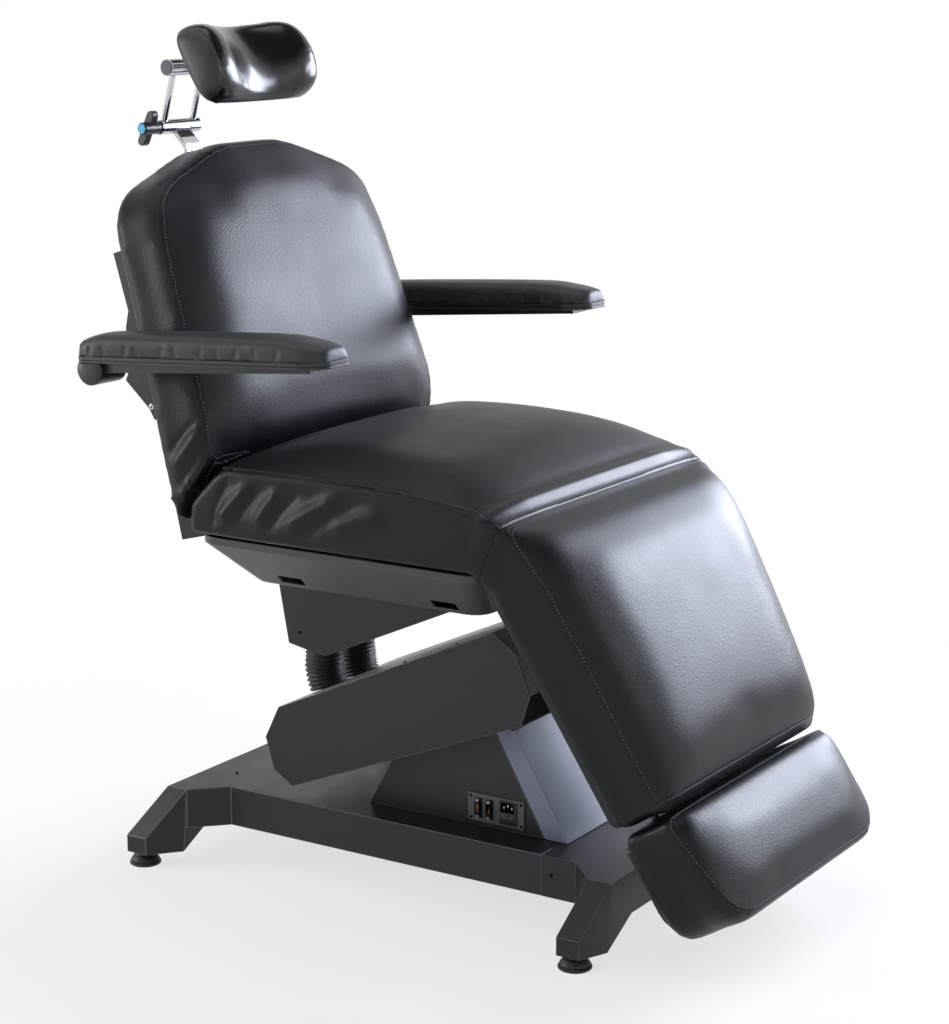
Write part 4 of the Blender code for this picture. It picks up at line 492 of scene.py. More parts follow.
# Warm grey paint: sprayed and satin, with a fine peel that is drawn 2 mm wide so that it shows.
warm_paint = grained("painted_warm_grey_steel", 0.002, 0.00015, (0.36, 0.46),
                     ("#8d857d", "#968e86"), 0.08, IOR=1.5)
for side in SIDES:
    sheet(f"arm_side_{side}", f"arm_cover_{side}", "lift_arm")
pressed("arm_top_plate", "arm_top_cover", "lift_arm", warm_paint, "dark_powder_coat", SHEET_EDGE)
ARM_TOP_SLOPE = math.radians(23.2)
ARM_TOP_OUT = (-math.sin(ARM_TOP_SLOPE), 0, math.cos(ARM_TOP_SLOPE))
COVER_SCREW = 0.0030
arm_spots = [((x, side * 0.150, z), ARM_TOP_OUT) for x, z in ((0.0595, 0.4105), (-0.0345, 0.3682))
             for side in (-1, 1)]
screws("arm_top_screws", arm_spots, COVER_SCREW, "lift_arm", black_screw)


# Carrier: a sheet cover under the seat pan, round two posts that stand on the lift arm.
# Two moulded rubber bellows hang from the cover round the posts.

SHROUD_EDGE = 0.0010
sheet("carrier_shroud", "carrier_cover", "seat", SHROUD_EDGE)
carrier_spots = [((-0.2554, side * 0.120, 0.3762), (0, side, 0)) for side in (-1, 1)]
screws("carrier_screws", carrier_spots, COVER_SCREW, "seat", black_screw)


def relax(bm, verts, factor=0.5):
    """Moves vertices towards the mean of their neighbours, or away from it by a negative factor."""
    bmesh.ops.smooth_vert(bm, verts=verts, factor=factor, use_axis_x=True, use_axis_y=True, use_axis_z=True)


def rounder(mesh, levels=1):
    """Mesh with a subdivision surface applied."""
    work = bpy.data.objects.new("rounder", mesh)
    scene.collection.objects.link(work)
    finer = work.modifiers.new("finer", "SUBSURF")
    finer.levels = finer.render_levels = levels
    made = bpy.data.meshes.new_from_object(work.evaluated_get(bpy.context.evaluated_depsgraph_get()))
    bpy.data.objects.remove(work)
    return made


RIB_GAIN = -0.8
for side in SIDES:
    bm = merged(f"bellows_{side}")
    relax(bm, bm.verts, RIB_GAIN)
    mesh = bpy.data.meshes.new("ribs")
    bm.to_mesh(mesh)
    bm.clear()
    bm.from_mesh(rounder(mesh))
    piece(f"bellows_sleeve_{side}", bm, "seat", rubber, (f"bellows_{side}",), smooth=180)


# Seat pan: a moulded dish of grey plastic under the seat, with hand slots in its sides.
# Its upright flange is screwed to the seat board.

# Mid-grey ABS, moulded: the same grain over a paler ground, so that its sheen shows less.
pan_plastic = grained("moulded_mid_grey_abs", 0.0014, 0.00012, (0.36, 0.46),
                      ("#434345", "#4a4a4c"), 0.06, IOR=1.5)
PAN_EDGE = 0.0030
pressed("seat_dish", "seat_pan", "seat", pan_plastic, "grey_plastic", PAN_EDGE)


# Seat and leg rest cover: one upholstered body over the knee, moulded foam on boards, in charcoal vinyl.
# Panels are sewn edge to edge and top-stitched, drawn tight at the knee and slack at the seat's sides.

# Upholstery vinyl: a calendered skin with an embossed hide grain and a satin top coat, which gives broad
# soft lights. The grain is drawn 2.4 mm wide, about twice the real one, so that it shows.
leather = grained("embossed_charcoal_vinyl", 0.0024, 0.00050, (0.37, 0.45),
                  ("#0f1014", "#14161b"), 0.14, IOR=1.33)
# Spun thread: matt and a shade lighter than the vinyl.
thread = grained("spun_polyester_thread", 0.0006, 0.00005, (0.55, 0.65),
                 ("#474a50", "#50545a"), 0.02, IOR=1.5)

COVER_VOXEL = 0.0075
STITCH_HALF = 0.0022
STITCH_PITCH = 0.0058
STITCH_RADIUS = 0.00070
SEAM_DEPTH = 0.0012
SEAM_HALF = 0.0018
ROW_OFFSET = 0.0026
UP, FORWARD, Y_AXIS = Vector((0, 0, 1)), Vector((1, 0, 0)), Vector((0, 1, 0))
knee = Vector((0.2251, 0, 0.631))
KNEE_LEAN = math.radians(22.5)
KNEE_OUT = Vector((math.cos(KNEE_LEAN), 0, -math.sin(KNEE_LEAN)))
LEG_TILT = math.radians(30)
LEG_OUT = Vector((math.cos(LEG_TILT), 0, math.sin(LEG_TILT)))
LEG_DOWN = Vector((math.sin(LEG_TILT), 0, -math.cos(LEG_TILT)))
LEG_BACK = -0.0624
SEAT_BOTTOM = 0.5648
STAPLE_BAND = 0.008


def even_mesh(nodes, voxel, bridge=None):
    """Closed even mesh round CAD nodes, with a hull over the points that bridge picks."""
    bm = bmesh.new()
    for node in nodes:
        bm.from_mesh(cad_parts[node].data)
    bmesh.ops.remove_doubles(bm, verts=bm.verts, dist=0.00002)
    if bridge:
        near = [bm.verts.new(v.co) for v in list(bm.verts) if bridge(v.co)]
        hull = bmesh.ops.convex_hull(bm, input=near, use_existing_faces=False)
        inner = set(verts_of(hull["geom_interior"] + hull["geom_unused"]))
        bmesh.ops.delete(bm, geom=list(inner), context="VERTS")
    mesh = bpy.data.meshes.new("foam")
    bm.to_mesh(mesh)
    bm.free()
    work = bpy.data.objects.new("foam", mesh)
    scene.collection.objects.link(work)
    even = work.modifiers.new("even", "REMESH")
    even.mode = "VOXEL"
    even.voxel_size = voxel
    made = bpy.data.meshes.new_from_object(work.evaluated_get(bpy.context.evaluated_depsgraph_get()))
    bpy.data.objects.remove(work)
    bm = bmesh.new()
    bm.from_mesh(made)
    for _ in range(3):
        relax(bm, bm.verts)
    bm.to_mesh(made)
    bm.free()
    return made


def places(mesh):
    """Vertex places of a mesh as an array."""
    co = np.empty(len(mesh.vertices) * 3, np.float32)
    mesh.vertices.foreach_get("co", co)
    return co.reshape(-1, 3).astype(float)


def normals_of(mesh):
    """Vertex normals of a mesh as an array."""
    out = np.empty(len(mesh.vertices) * 3, np.float32)
    mesh.vertex_normals.foreach_get("vector", out)
    return out.reshape(-1, 3).astype(float)


EVEN_PASSES = 30


def evened(mesh, values, passes):
    """Values at a mesh's vertices, each taken towards the mean of its neighbours' a number of times."""
    pairs = np.empty(len(mesh.edges) * 2, np.int32)
    mesh.edges.foreach_get("vertices", pairs)
    a, b = pairs.reshape(-1, 2).T
    count = np.bincount(pairs, minlength=len(values))
    for _ in range(passes):
        around = np.bincount(a, values[b], len(values)) + np.bincount(b, values[a], len(values))
        values = (values + around / count) / 2
    return values


def calm(mesh, picked, passes):
    """Draws the vertices that picked gives taut, as a stretched panel between its edges."""
    bm = bmesh.new()
    bm.from_mesh(mesh)
    bm.verts.ensure_lookup_table()
    verts = [bm.verts[i] for i in np.flatnonzero(picked(places(mesh)))]
    for _ in range(passes):
        relax(bm, verts)
    bm.to_mesh(mesh)
    bm.free()
    mesh.update()


def swell(mesh, held, shrink, cap, pressure=4.0):
    """Swells a cover as cloth from where it is held, each point by no more than a cap. It starts drawn in,
    and what it rises past its first shape is evened, so that a taut cover gains no wrinkles."""
    co, out = places(mesh), normals_of(mesh)
    fixed = held(co)
    start = co - out * (shrink * ~fixed)[:, None]
    mesh.vertices.foreach_set("co", start.astype(np.float32).ravel())
    work = bpy.data.objects.new("swelling", mesh)
    scene.collection.objects.link(work)
    group = work.vertex_groups.new(name="held")
    group.add([int(i) for i in np.flatnonzero(fixed)], 1.0, "REPLACE")
    cloth = work.modifiers.new("swell", "CLOTH")
    cloth.settings.quality = 6
    cloth.settings.mass = 0.3
    cloth.settings.bending_stiffness = 2.0
    cloth.settings.use_pressure = True
    cloth.settings.uniform_pressure_force = pressure
    cloth.settings.vertex_group_mass = "held"
    cloth.settings.effector_weights.gravity = 0
    cloth.collision_settings.use_collision = False
    for step in range(1, 21):
        scene.frame_set(step)
    swelled = bpy.data.meshes.new_from_object(work.evaluated_get(bpy.context.evaluated_depsgraph_get()))
    bpy.data.objects.remove(work)
    scene.frame_set(1)
    risen = np.clip(((places(swelled) - start) * out).sum(axis=1) - shrink * ~fixed, 0, cap)
    co = co + out * evened(mesh, risen, EVEN_PASSES)[:, None]
    mesh.vertices.foreach_set("co", co.astype(np.float32).ravel())
    mesh.update()
    return rounder(mesh)


def crease(mesh, folds):
    """Pushes folds into a mesh: each is a line of points, a width, a height that is negative for a valley,
    and the way that the surface there faces, along which the line lies over it."""
    co, out = places(mesh), normals_of(mesh)
    for line, width, height, way in folds:
        way = np.array(way, float)
        flat = np.eye(3) - np.outer(way, way)
        line, laid = np.array(line, float) @ flat, co @ flat
        best, along = np.full(len(co), 1e9), np.zeros(len(co))
        for i in range(len(line) - 1):
            a, b = line[i], line[i + 1]
            t = np.clip((laid - a) @ (b - a) / ((b - a) @ (b - a)), 0, 1)
            d = np.linalg.norm(laid - a - t[:, None] * (b - a), axis=1)
            closer = d < best
            best[closer] = d[closer]
            along[closer] = ((i + t) / (len(line) - 1))[closer]
        taper = np.clip(np.sin(math.pi * np.clip(along, 0.02, 0.98)) * 1.6, 0, 1)
        taper *= np.clip(out @ way * 2 - 0.4, 0, 1)
        co += out * (height * taper * np.exp(-(best / width) ** 2))[:, None]
    mesh.vertices.foreach_set("co", co.astype(np.float32).ravel())
    mesh.update()


def cut_line(bm, where, origin, out, along, rise):
    """Cuts the faces that where picks along a sewing line, which stands rise(distance along) off an origin.
    The mesh is laid flat along it, cut by a plane and put back. Gives the line's vertices and edges."""
    faces = [f for f in bm.faces if where(f.calc_center_median())]
    verts = {v for f in faces for v in f.verts}
    edges = {e for f in faces for e in f.edges}
    for v in verts:
        v.co -= out * rise((v.co - origin).dot(along))
    made = bmesh.ops.bisect_plane(bm, geom=[*verts, *edges, *faces], dist=0.0002, plane_co=origin,
                                  plane_no=out)["geom_cut"]
    line = verts_of(made)
    for v in verts | set(line):
        v.co += out * rise((v.co - origin).dot(along))
    return line, [g for g in made if isinstance(g, bmesh.types.BMEdge)]


def runs(edges):
    """Chains of edges as lists of places and normals."""
    joined = {}
    for e in edges:
        for v in e.verts:
            joined.setdefault(v, []).append(e)
    left, found = set(edges), []
    while left:
        ends = [v for e in left for v in e.verts if sum(x in left for x in joined[v]) == 1]
        v = min(ends or [v for e in left for v in e.verts], key=lambda v: tuple(v.co))
        chain = [(v.co.copy(), v.normal.copy())]
        while True:
            ahead = [e for e in joined[v] if e in left]
            if not ahead:
                break
            left.discard(ahead[0])
            v = ahead[0].other_vert(v)
            chain.append((v.co.copy(), v.normal.copy()))
        found.append(chain)
    return found


def sewn(bm, where, origin, out, along, rise, depth=SEAM_DEPTH, rows=(ROW_OFFSET,)):
    """Sinks a seam into a cover and gives the runs of its stitching rows."""
    found = []
    for offset in rows:
        copy = bm.copy()
        copy.normal_update()
        _, edges = cut_line(copy, where, origin, out, along, lambda a: rise(a) + offset)
        found += runs(edges)
        copy.free()
    for offset in (-SEAM_HALF, SEAM_HALF):
        cut_line(bm, where, origin, out, along, lambda a: rise(a) + offset)
    line, _ = cut_line(bm, where, origin, out, along, rise)
    bm.normal_update()
    for v in line:
        v.co -= v.normal * depth
    return found


def stitches(name, found):
    """Stitches along runs of places, as one piece that rides on nothing yet."""
    one = bmesh.new()
    bmesh.ops.create_uvsphere(one, u_segments=6, v_segments=4, radius=1.0, matrix=Matrix.Diagonal(
        (STITCH_HALF, STITCH_RADIUS, STITCH_RADIUS, 1)) @ Matrix.Rotation(math.pi / 2, 4, "Y"))
    stitch = bpy.data.meshes.new("stitch")
    one.to_mesh(stitch)
    one.free()
    bm = bmesh.new()
    for chain in found:
        left = STITCH_PITCH / 2
        for (a, na), (b, nb) in zip(chain, chain[1:]):
            step = b - a
            length = step.length
            while left < length:
                share = left / length
                x = step.normalized()
                z = na.lerp(nb, share)
                z = (z - x * z.dot(x)).normalized()
                place = Matrix.Translation(a.lerp(b, share) + z * STITCH_RADIUS * 0.4) @ Matrix(
                    (x, z.cross(x), z)).transposed().to_4x4()
                stitch.transform(place)
                bm.from_mesh(stitch)
                stitch.transform(place.inverted())
                left += STITCH_PITCH
            left -= length
    return piece(name, bm, None, thread)


def cover(name, mesh, material, stands_for, seams=()):
    """Cushion cover of a swelled mesh, with its seams sunk in; gives it and its stitching rows."""
    bm = bmesh.new()
    bm.from_mesh(mesh)
    found = [run for seam in seams for run in sewn(bm, *seam[0], **seam[1])]
    made = piece(name, bm, None, material, stands_for, smooth=180)
    return made, found


def past_knee(p):
    """Distance of a place in front of the knee's middle plane."""
    return (Vector(p) - knee).dot(KNEE_OUT)


SEAT_SEAM_X = (-0.272, -0.243, -0.115, -0.025, 0.062, 0.130, 0.180, 0.213, 0.226)
SEAT_SEAM_Z = (0.6645, 0.6700, 0.6720, 0.6720, 0.6690, 0.6625, 0.6540, 0.6430, 0.6350)
LEG_SEAM_D = (0.0158, 0.0995, 0.238, 0.347, 0.4367)
LEG_SEAM_N = (0.0120, 0.0240, 0.0230, 0.0195, 0.0175)
KNEE_BAND = 0.006
PANEL_INSET = 0.006


def seat_seam(x):
    return float(np.interp(x, SEAT_SEAM_X, SEAT_SEAM_Z))


def leg_seam(d):
    return float(np.interp(d, LEG_SEAM_D, LEG_SEAM_N))


def cover_places(co):
    """Distances of places in front of the knee's middle plane, out of the leg and down the leg."""
    rel = co - np.array(knee)
    return rel @ np.array(KNEE_OUT), rel @ np.array(LEG_OUT), rel @ np.array(LEG_DOWN)


def cover_held(co):
    """True where the cover is stapled to a board or drawn down at the knee."""
    ahead, n, _ = cover_places(co)
    seat_board = (ahead < 0) & (co[:, 2] < SEAT_BOTTOM + STAPLE_BAND)
    leg_board = (ahead >= 0) & (n < LEG_BACK + STAPLE_BAND)
    return seat_board | leg_board | (np.abs(ahead) < KNEE_BAND)


def cover_panels(co):
    """True on the seat's top and the leg's front, inside their seams."""
    ahead, n, d = cover_places(co)
    seat = (ahead < -2 * KNEE_BAND) & (co[:, 2] > np.interp(co[:, 0], SEAT_SEAM_X, SEAT_SEAM_Z) + PANEL_INSET)
    return seat | ((ahead > 2 * KNEE_BAND) & (n > np.interp(d, LEG_SEAM_D, LEG_SEAM_N) + PANEL_INSET))


KNEE_BRIDGE = 0.026
SEAT_NODES = ("seat_cushion", "leg_cushion")
mesh = even_mesh(SEAT_NODES, COVER_VOXEL, lambda p: abs(past_knee(p)) < KNEE_BRIDGE)
calm(mesh, cover_panels, 40)
# The leg rest's foam falls away over its lower half.
LEG_FALL = 0.010
LEG_HALF = 0.22
co = places(mesh)
ahead, n, d = cover_places(co)
fall = LEG_FALL * np.clip((d - LEG_HALF) / LEG_HALF, 0, 1) ** 2 * np.clip(n / 0.03, 0, 1) * (ahead > 0)
mesh.vertices.foreach_set("co", (co - fall[:, None] * np.array(LEG_OUT)).astype(np.float32).ravel())
mesh.update()
mesh = swell(mesh, cover_held, 0.003, 0.007)
# Folds of the slack side panel, from the photograph's near side: a line in X and Z, a width and a height.
SEAT_FOLDS = (([(-0.240, 0.664), (-0.262, 0.620), (-0.279, 0.572)], 0.007, -0.0022),
              ([(-0.200, 0.656), (-0.238, 0.618), (-0.264, 0.588)], 0.011, 0.0070),
              ([(-0.178, 0.655), (-0.208, 0.622), (-0.229, 0.593)], 0.007, -0.0022),
              ([(-0.146, 0.654), (-0.172, 0.622), (-0.196, 0.588)], 0.011, 0.0070),
              ([(-0.110, 0.656), (-0.140, 0.622), (-0.172, 0.586)], 0.007, -0.0022),
              ([(-0.036, 0.655), (-0.092, 0.624), (-0.148, 0.590)], 0.012, 0.0075),
              ([(0.000, 0.647), (-0.050, 0.618), (-0.108, 0.588)], 0.008, -0.0020),
              ([(0.042, 0.638), (-0.010, 0.622), (-0.064, 0.602)], 0.014, 0.0050))


def both_sides(folds):
    """Folds of the near side panel and their mirror images on the far one."""
    return [([(x, 0, z) for x, z in line], width, height, (0, side, 0))
            for line, width, height in folds for side in (-1, 1)]


# The cover is full over the knee, with a rolled edge behind its seam.
KNEE_UP = (math.sin(KNEE_LEAN), 0, math.cos(KNEE_LEAN))
KNEE_COVER = [([(0.227, y, 0.6365) for y in (-0.36, 0.36)], 0.016, 0.0040, KNEE_UP),
              ([(0.2040, y, 0.6495) for y in (-0.36, 0.36)], 0.012, 0.0085, KNEE_UP)]
crease(mesh, both_sides(SEAT_FOLDS) + KNEE_COVER)
LEG_HEM = 0.4330


def seat_border(p):
    """True on the seat's side borders, clear of the knee."""
    return past_knee(p) < 0 and p.x > -0.29 and abs(p.y) > (0.24 if p.x < 0.12 else 0.288)


def leg_border(p):
    """True on the leg's side borders, from the knee to the hem."""
    d = (p - knee).dot(LEG_DOWN)
    return past_knee(p) > 0 and d < LEG_HEM + 0.002 and (d > 0.075 or abs(p.y) > 0.282)


def leg_hem(p):
    """True at the leg's lower end, in front of its side seams."""
    return (p - knee).dot(LEG_DOWN) > LEG_HEM - 0.03 and (p - knee).dot(LEG_OUT) > LEG_SEAM_N[-1] - 0.004


sewing = [((seat_border, Vector(), UP, FORWARD, seat_seam), {}),
          ((leg_border, knee, LEG_OUT, LEG_DOWN, leg_seam), {}),
          ((leg_hem, knee, LEG_DOWN, Y_AXIS, lambda a: LEG_HEM), {}),
          ((lambda p: True, knee, KNEE_OUT, UP, lambda a: 0.0), {"depth": 0.0040, "rows": ()})]
seat_cover, rows = cover("seat_and_leg_cover", mesh, leather, SEAT_NODES, sewing)
seat_thread = stitches("seat_and_leg_stitching", rows)
for made in (seat_cover, seat_thread):
    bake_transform(made)


# Footrest: a padded board that slides out of the leg rest on two rods; foam under the same vinyl.
# Its face panel is sewn to a border all round and top-stitched.

FOOT_SEAM_D = (0.470, 0.553, 0.636)
FOOT_SEAM_N = (0.018, 0.036, 0.050)


def foot_seam(d):
    return float(np.interp(d, FOOT_SEAM_D, FOOT_SEAM_N))


def foot_held(co):
    """True where the cover is stapled to the footrest's board."""
    return cover_places(co)[1] < LEG_BACK + STAPLE_BAND


def foot_panel(co):
    """True on the footrest's face, inside its seam."""
    _, n, d = cover_places(co)
    return n > np.interp(d, FOOT_SEAM_D, FOOT_SEAM_N) + 0.004


FOOT_REACH = 0.011
FOOT_STAND = 0.010
FOOT_FALL = 0.022
FOOT_LENGTH = FOOT_SEAM_D[-1] - FOOT_SEAM_D[0]


def foot_fuller(co):
    """The footrest's foam stands up against the leg rest, and its face curves back towards its lower end."""
    _, n, d = cover_places(co)
    curve = FOOT_STAND - FOOT_FALL * np.clip((d - FOOT_SEAM_D[0]) / FOOT_LENGTH, 0, 1) ** 1.7
    curve *= np.clip(n / 0.03 + 0.5, 0, 1)
    reach = FOOT_REACH * np.clip((0.54 - d) / 0.06, 0, 1)
    return co - reach[:, None] * np.array(LEG_DOWN) + curve[:, None] * np.array(LEG_OUT)


def anywhere(co):
    return np.full(len(co), True)


def upholster(name, nodes, voxel, taut, held, shrink, cap, folds, seams, body, material=leather,
              fuller=None):
    """Cushion cover with its stitching, on one body. taut gives panels to draw taut and the passes for each,
    and fuller the way its places move before that."""
    mesh = even_mesh(nodes, voxel)
    if fuller:
        mesh.vertices.foreach_set("co", fuller(places(mesh)).astype(np.float32).ravel())
        mesh.update()
    for picked, passes in taut:
        calm(mesh, picked, passes)
    mesh = swell(mesh, held, shrink, cap)
    crease(mesh, folds)
    made, rows = cover(name, mesh, material, nodes, seams)
    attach(made, body)
    if rows:
        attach(stitches(f"{name}_stitching", rows), body)


FOOT_VOXEL = 0.006
BOARD_EDGE = 0.0008
upholster("footrest_cover", ("footrest_cushion",), FOOT_VOXEL, [(foot_panel, 30)], foot_held, 0.002, 0.006,
          [], [((lambda p: True, knee, LEG_OUT, LEG_DOWN, foot_seam), {})], "footrest", fuller=foot_fuller)
sheet("footrest_board", "footrest_plate", "footrest", BOARD_EDGE)
sheet("leg_board", "leg_frame", "legrest", BOARD_EDGE)


# Backrest: foam on a board in the same vinyl, a front panel sewn to a border that narrows to the hinge.
# A formed shell closes it behind, on a welded frame; a plate on each side carries an armrest.

back_hinge = Vector((-0.3554, 0, 0.556))
BACK_TILT = math.radians(17)
BACK_OUT = Vector((math.cos(BACK_TILT), 0, math.sin(BACK_TILT)))
BACK_UP = Vector((-math.sin(BACK_TILT), 0, math.cos(BACK_TILT)))
BACK_REAR = 0.0176
BACK_SEAM_T = (0.012, 0.040, 0.070, 0.0958, 0.157, 0.295, 0.400, 0.500, 0.572)
BACK_SEAM_N = (0.030, 0.040, 0.072, 0.1035, 0.1150, 0.1115, 0.1080, 0.1045, 0.1000)


def back_seam(t):
    return float(np.interp(t, BACK_SEAM_T, BACK_SEAM_N))


def back_places(co):
    """Distances of places in front of the back's board and up the back."""
    rel = co - np.array(back_hinge)
    return rel @ np.array(BACK_OUT), rel @ np.array(BACK_UP)


def back_held(co):
    """True where the cover is stapled to the back's board."""
    return back_places(co)[0] < BACK_REAR + 0.006


def back_panel(co):
    """True on the back's front panel, inside its seam."""
    n, t = back_places(co)
    return n > np.interp(t, BACK_SEAM_T, BACK_SEAM_N) + 0.004


ARCH_FOOT = 0.43
ARCH_RISE = 0.006
BACK_WIDER = 1.028
BACK_FLARE = 0.025


def back_top(co):
    """True along the back's arched top, clear of the shell."""
    n, t = back_places(co)
    return (t > ARCH_FOOT) & (n > 0.040)


def back_fuller(co):
    """The back's foam stands wider than its board, most low down, and higher along its arched top."""
    t = back_places(co)[1]
    wide = BACK_WIDER + BACK_FLARE * np.clip((0.34 - t) / 0.30, 0, 1)
    higher = ARCH_RISE * np.clip((t - ARCH_FOOT) / 0.1, 0, 1)
    return co * np.stack([np.ones_like(t), wide, np.ones_like(t)], 1) + higher[:, None] * np.array(BACK_UP)


BACK_FOLDS = (([(-0.300, 0.742), (-0.334, 0.709), (-0.352, 0.686)], 0.007, -0.0022),
              ([(-0.290, 0.730), (-0.322, 0.692), (-0.347, 0.659)], 0.011, 0.0065),
              ([(-0.283, 0.712), (-0.311, 0.668), (-0.336, 0.635)], 0.007, -0.0022),
              ([(-0.270, 0.690), (-0.300, 0.648), (-0.331, 0.607)], 0.011, 0.0060))
upholster("back_cover", ("back_cushion",), COVER_VOXEL, [(anywhere, 6), (back_top, 24), (back_panel, 80)],
          back_held, 0.003, 0.007, both_sides(BACK_FOLDS),
          [((lambda p: True, back_hinge, BACK_OUT, BACK_UP, back_seam), {})], "backrest", fuller=back_fuller)
# Chrome plate: a near mirror on polished steel, clouded only a little by handling.
chrome = grained("chrome_plated_steel", 0.004, 0.00002, (0.05, 0.10),
                 ("#b4b7bb", "#c4c7cb"), 0.03, Metallic=1.0)
# Grey ABS, moulded: the grain of the black one, with a duller sheen.
grey_plastic = grained("moulded_grey_abs", 0.0014, 0.00012, (0.42, 0.52),
                       ("#191a1c", "#1f2022"), 0.06, IOR=1.5)
BACK_SHELL_EDGE = 0.0015
pressed("back_panel", "back_shell", "backrest", grey_plastic, "grey_plastic", BACK_SHELL_EDGE)
sheet("back_uprights", "back_frame", "backrest")
sheet("headrest_socket", "headrest_guide", "backrest", SHROUD_EDGE)
for side in SIDES:
    sheet(f"armrest_hanger_{side}", f"armrest_bracket_{side}", "backrest")
HANGER_BOLT = 0.0055
hanger_spots = [((-0.4256, side * 0.260, 0.742), (0, side, 0)) for side in (-1, 1)]
screws("hanger_bolts", hanger_spots, HANGER_BOLT, "backrest", chrome)


# Armrests: a moulded tray on a rail that turns on the hanger's pin, with a padded top in the same vinyl.
# The tray has a lip all round under the pad, and its front end is clipped.

# Armrest vinyl: the same skin with a duller top coat, painted paler than the seat's, a painted sheen for the
# light the pads catch.
pad_vinyl_painted_light = grained("dull_charcoal_vinyl_painted_light", 0.0024, 0.00040, (0.40, 0.50),
                    ("#2b2e33", "#32353a"), 0.08, IOR=1.4)
ARM_RISE = math.radians(3.6)
ARMREST_ALONG = Vector((math.cos(ARM_RISE), 0, math.sin(ARM_RISE)))
ARMREST_UP = Vector((-math.sin(ARM_RISE), 0, math.cos(ARM_RISE)))
TRAY_LOW = 0.0100
TRAY_LIP = (0.0034, 0.0044)
PAD_LOW = 0.0200
PAD_HALF = 0.0424
PAD_DOME = 0.0045
PAD_VOXEL = 0.0045
PAD_LENGTH = 0.464
PAD_REAR = -0.028
LIP_DEPTH = 0.0009
TRAY_SPREAD = 0.0036
TRAY_EDGE = 0.0010
BEAM_TAPER = 0.0075
BEAM_EDGE = 0.0025
BOSS_CAP = ((0, -0.001), (0.0238, -0.001), (0.0236, 0.0012), (0.0222, 0.0032), (0.0190, 0.0046),
            (0.0120, 0.0054), (0, 0.0056))
BOSS_END = 0.028
TRAY_GAP = 0.0004
PUCKERS = (0.06, 0.13, 0.21, 0.27, 0.36, 0.43, 0.52, 0.60, 0.66, 0.75, 0.82)
for side, across in zip(SIDES, (-1, 1)):
    armrest_pivot = Vector((-0.4312, across * 0.365, 0.8162))
    bm = merged(f"armrest_tray_{side}")
    for height in TRAY_LIP:
        bmesh.ops.bisect_plane(bm, geom=[*bm.verts, *bm.edges, *bm.faces], dist=0.00001,
                               plane_co=armrest_pivot + ARMREST_UP * (TRAY_LOW + height), plane_no=ARMREST_UP)
    for v in bm.verts:
        v.co += TRAY_SPREAD * (v.normal - ARMREST_UP * v.normal.dot(ARMREST_UP)).normalized()
    lip = [f for f in bm.faces
           if TRAY_LIP[0] < (f.calc_center_median() - armrest_pivot).dot(ARMREST_UP) - TRAY_LOW < TRAY_LIP[1]]
    bmesh.ops.inset_region(bm, faces=lip, thickness=0.0, depth=-LIP_DEPTH, use_even_offset=True)
    fold(bm, TRAY_EDGE, 2, least=50)
    weighted(piece(f"armrest_shell_{side}", bm, f"armrest_{side}", black_plastic,
                   (f"armrest_tray_{side}",)))
    bm = merged(f"armrest_rail_{side}")
    for v in bm.verts:
        if v.co.x > -0.1 and (v.co - armrest_pivot).dot(ARMREST_UP) < 0:
            v.co += ARMREST_UP * BEAM_TAPER
    fold(bm, BEAM_EDGE)
    weighted(piece(f"armrest_beam_{side}", bm, f"armrest_{side}", black_plastic,
                   (f"armrest_rail_{side}",)))
    bm = bmesh.new()
    turned(bm, BOSS_CAP, facing(armrest_pivot + Vector((0, across * BOSS_END, 0)), (0, across, 0)), 32)
    level = armrest_pivot + ARMREST_UP * (TRAY_LOW - TRAY_GAP)
    bmesh.ops.bisect_plane(bm, geom=[*bm.verts, *bm.edges, *bm.faces], plane_co=level, plane_no=ARMREST_UP,
                           clear_outer=True)
    bmesh.ops.holes_fill(bm, edges=[e for e in bm.edges if e.is_boundary])
    piece(f"armrest_boss_cap_{side}", closed(bm), f"armrest_{side}", black_plastic)
    puckers = []
    for k, share in enumerate(PUCKERS):
        for edge in (-1, 1):
            foot = armrest_pivot + ARMREST_ALONG * (PAD_REAR + PAD_LENGTH * share) + ARMREST_UP * PAD_LOW
            foot += Vector((0, edge * 0.042, 0))
            lean = ARMREST_ALONG * (-1) ** k
            line = [foot, foot + ARMREST_UP * 0.009 + lean * 0.004, foot + ARMREST_UP * 0.018 + lean * 0.005]
            puckers.append((line, 0.005, -0.0011, (0, edge, 0)))

    def pad_up(co):
        """Height of places over the armrest's pivot, square to the pad."""
        return (co - np.array(armrest_pivot)) @ np.array(ARMREST_UP)

    def pad_fuller(co):
        """The pad's foam is domed, and reaches down into the tray."""
        dome = 1 - ((co[:, 1] - armrest_pivot.y) / PAD_HALF) ** 2
        lift = PAD_DOME * dome * (pad_up(co) > PAD_LOW + 0.008) - 0.003 * (pad_up(co) < PAD_LOW + 0.004)
        return co + lift[:, None] * np.array(ARMREST_UP)

    upholster(f"armrest_cover_{side}", (f"armrest_pad_{side}",), PAD_VOXEL,
              [(lambda co: pad_up(co) > PAD_LOW + 0.004, 14)], lambda co: pad_up(co) < PAD_LOW + 0.003,
              0.001, 0.003, puckers, [], f"armrest_{side}", material=pad_vinyl_painted_light, fuller=pad_fuller)


# Headrest: a saddle-shaped pillow in glossy black leather on a chromed bracket, link and bar.
# Leaf-shaped end panels are sewn to the long panel; a grey cap closes each end of the upper barrel.

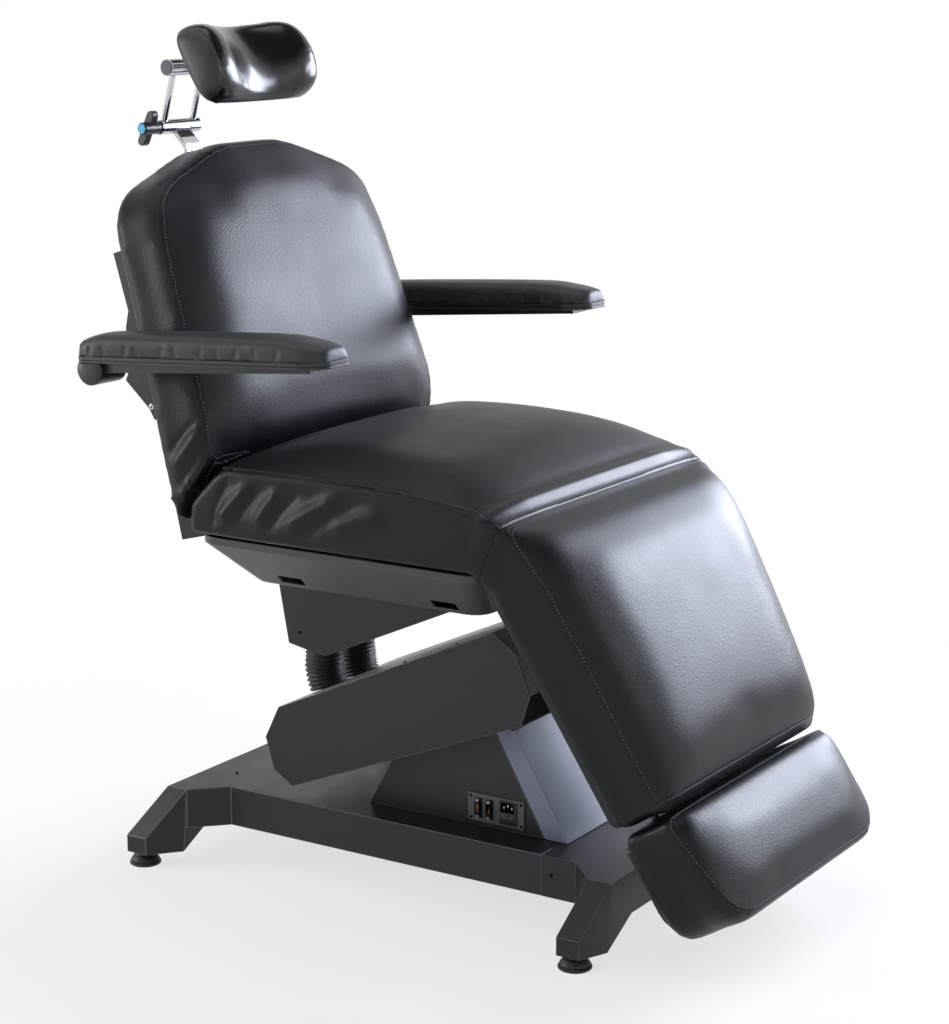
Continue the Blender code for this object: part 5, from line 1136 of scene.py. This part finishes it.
# Finished leather: pigmented and glazed, so that it mirrors the lights in soft bright streaks over a fine
# grain, drawn 2.2 mm wide so that it shows. The end panels are of a duller hide.
END_SEAM = 0.1230
gloss_leather = grained("glazed_black_leather", 0.0022, 0.00006, (0.18, 0.25),
                        ("#0b0b0d", "#0f0f12"), 0.05, IOR=1.45)
tree = gloss_leather.node_tree
place = add(tree, "ShaderNodeTexCoord").outputs["Object"]
across = add(tree, "ShaderNodeSeparateXYZ", {0: place}).outputs["Y"]
across = add(tree, "ShaderNodeMath", {0: across}, operation="ABSOLUTE").outputs[0]
end = add(tree, "ShaderNodeMath", {0: across, 1: END_SEAM}, operation="GREATER_THAN").outputs[0]
varied(gloss_leather, end, "#2c2d30", 0.42)
PILLOW_TILT = math.radians(30)
pillow_middle = Vector((-0.4398, 0, 1.2495))
PILLOW_OUT = Vector((math.cos(PILLOW_TILT), 0, math.sin(PILLOW_TILT)))
PILLOW_UP = Vector((-math.sin(PILLOW_TILT), 0, math.cos(PILLOW_TILT)))
PILLOW_HALF = 0.135
PILLOW_FULLER = 1.045
PILLOW_HOLLOW = 0.009


def pillow_fuller(co):
    """The pillow's foam is fuller than its board, highest in the middle, with a hollow between its ends."""
    rel = (co - np.array(pillow_middle)) * PILLOW_FULLER
    share = np.clip(np.abs(rel[:, 1]) / PILLOW_HALF, 0, 1)
    n, h = rel @ np.array(PILLOW_OUT), rel @ np.array(PILLOW_UP)
    sink = PILLOW_HOLLOW * np.exp(-(share / 0.45) ** 2) * np.clip(n / 0.02, 0, 1)
    rise = h * (0.11 * (1 - share ** 2) - 0.05 * share ** 4)
    hollowed = np.array(pillow_middle) + rel - sink[:, None] * np.array(PILLOW_OUT)
    return hollowed + rise[:, None] * np.array(PILLOW_UP)


def pillow_held(co):
    """True where the cover is stapled behind, over the bracket."""
    n = (co - np.array(pillow_middle)) @ np.array(PILLOW_OUT)
    return (n < -0.009) & (np.abs(co[:, 1]) < 0.085)


PILLOW_VOXEL = 0.004
end_seams = [((where, Vector((0, across * END_SEAM, 0)), Y_AXIS, UP, lambda a: 0.0), {"rows": ()})
             for across, where in ((-1, lambda p: p.y < -0.09), (1, lambda p: p.y > 0.09))]
upholster("headrest_cover", ("headrest_cushion",), PILLOW_VOXEL, [(anywhere, 14)], pillow_held, 0.001, 0.004,
          [], end_seams, "headrest_pad", material=gloss_leather, fuller=pillow_fuller)
BAR_EDGE = 0.0010
ROD_EDGE = 0.0006
BARREL_CAP = ((0, -0.0010), (0.0118, -0.0010), (0.0118, 0.0006), (0.0110, 0.0013), (0, 0.0015))
pressed("headrest_arm", "headrest_bar", "headrest_post", chrome, "chrome", BAR_EDGE)
for side in SIDES:
    pressed(f"headrest_rod_{side}", f"headrest_link_{side}", "headrest_link", chrome, "chrome", ROD_EDGE)
pressed("headrest_saddle", "headrest_pad_bracket", "headrest_pad", chrome, "chrome", ROD_EDGE)
bm = bmesh.new()
for across in (-1, 1):
    turned(bm, BARREL_CAP, facing((-0.5483, across * 0.055, 1.244), (0, across, 0)), 24)
piece("barrel_caps", closed(bm), "headrest_link", panel_paint)


# Wing knob: a two-lobed clamp knob on the lower barrel, moulded in black plastic.
# A blue plastic cap is pressed into its end.

# Blue polypropylene, moulded: smooth, with a waxy gleam.
blue_plastic = grained("moulded_blue_polypropylene", 0.0012, 0.00005, (0.25, 0.35),
                       ("#4fb2de", "#5fc0ea"), 0.01, IOR=1.49)
KNOB_EDGE = 0.0022
CAP_EDGE = 0.0006
pressed("clamp_knob", "wing_knob", "knob", black_plastic, "black_plastic", KNOB_EDGE)
pressed("clamp_knob_cap", "knob_cap", "knob", blue_plastic, "blue_plastic", CAP_EDGE)
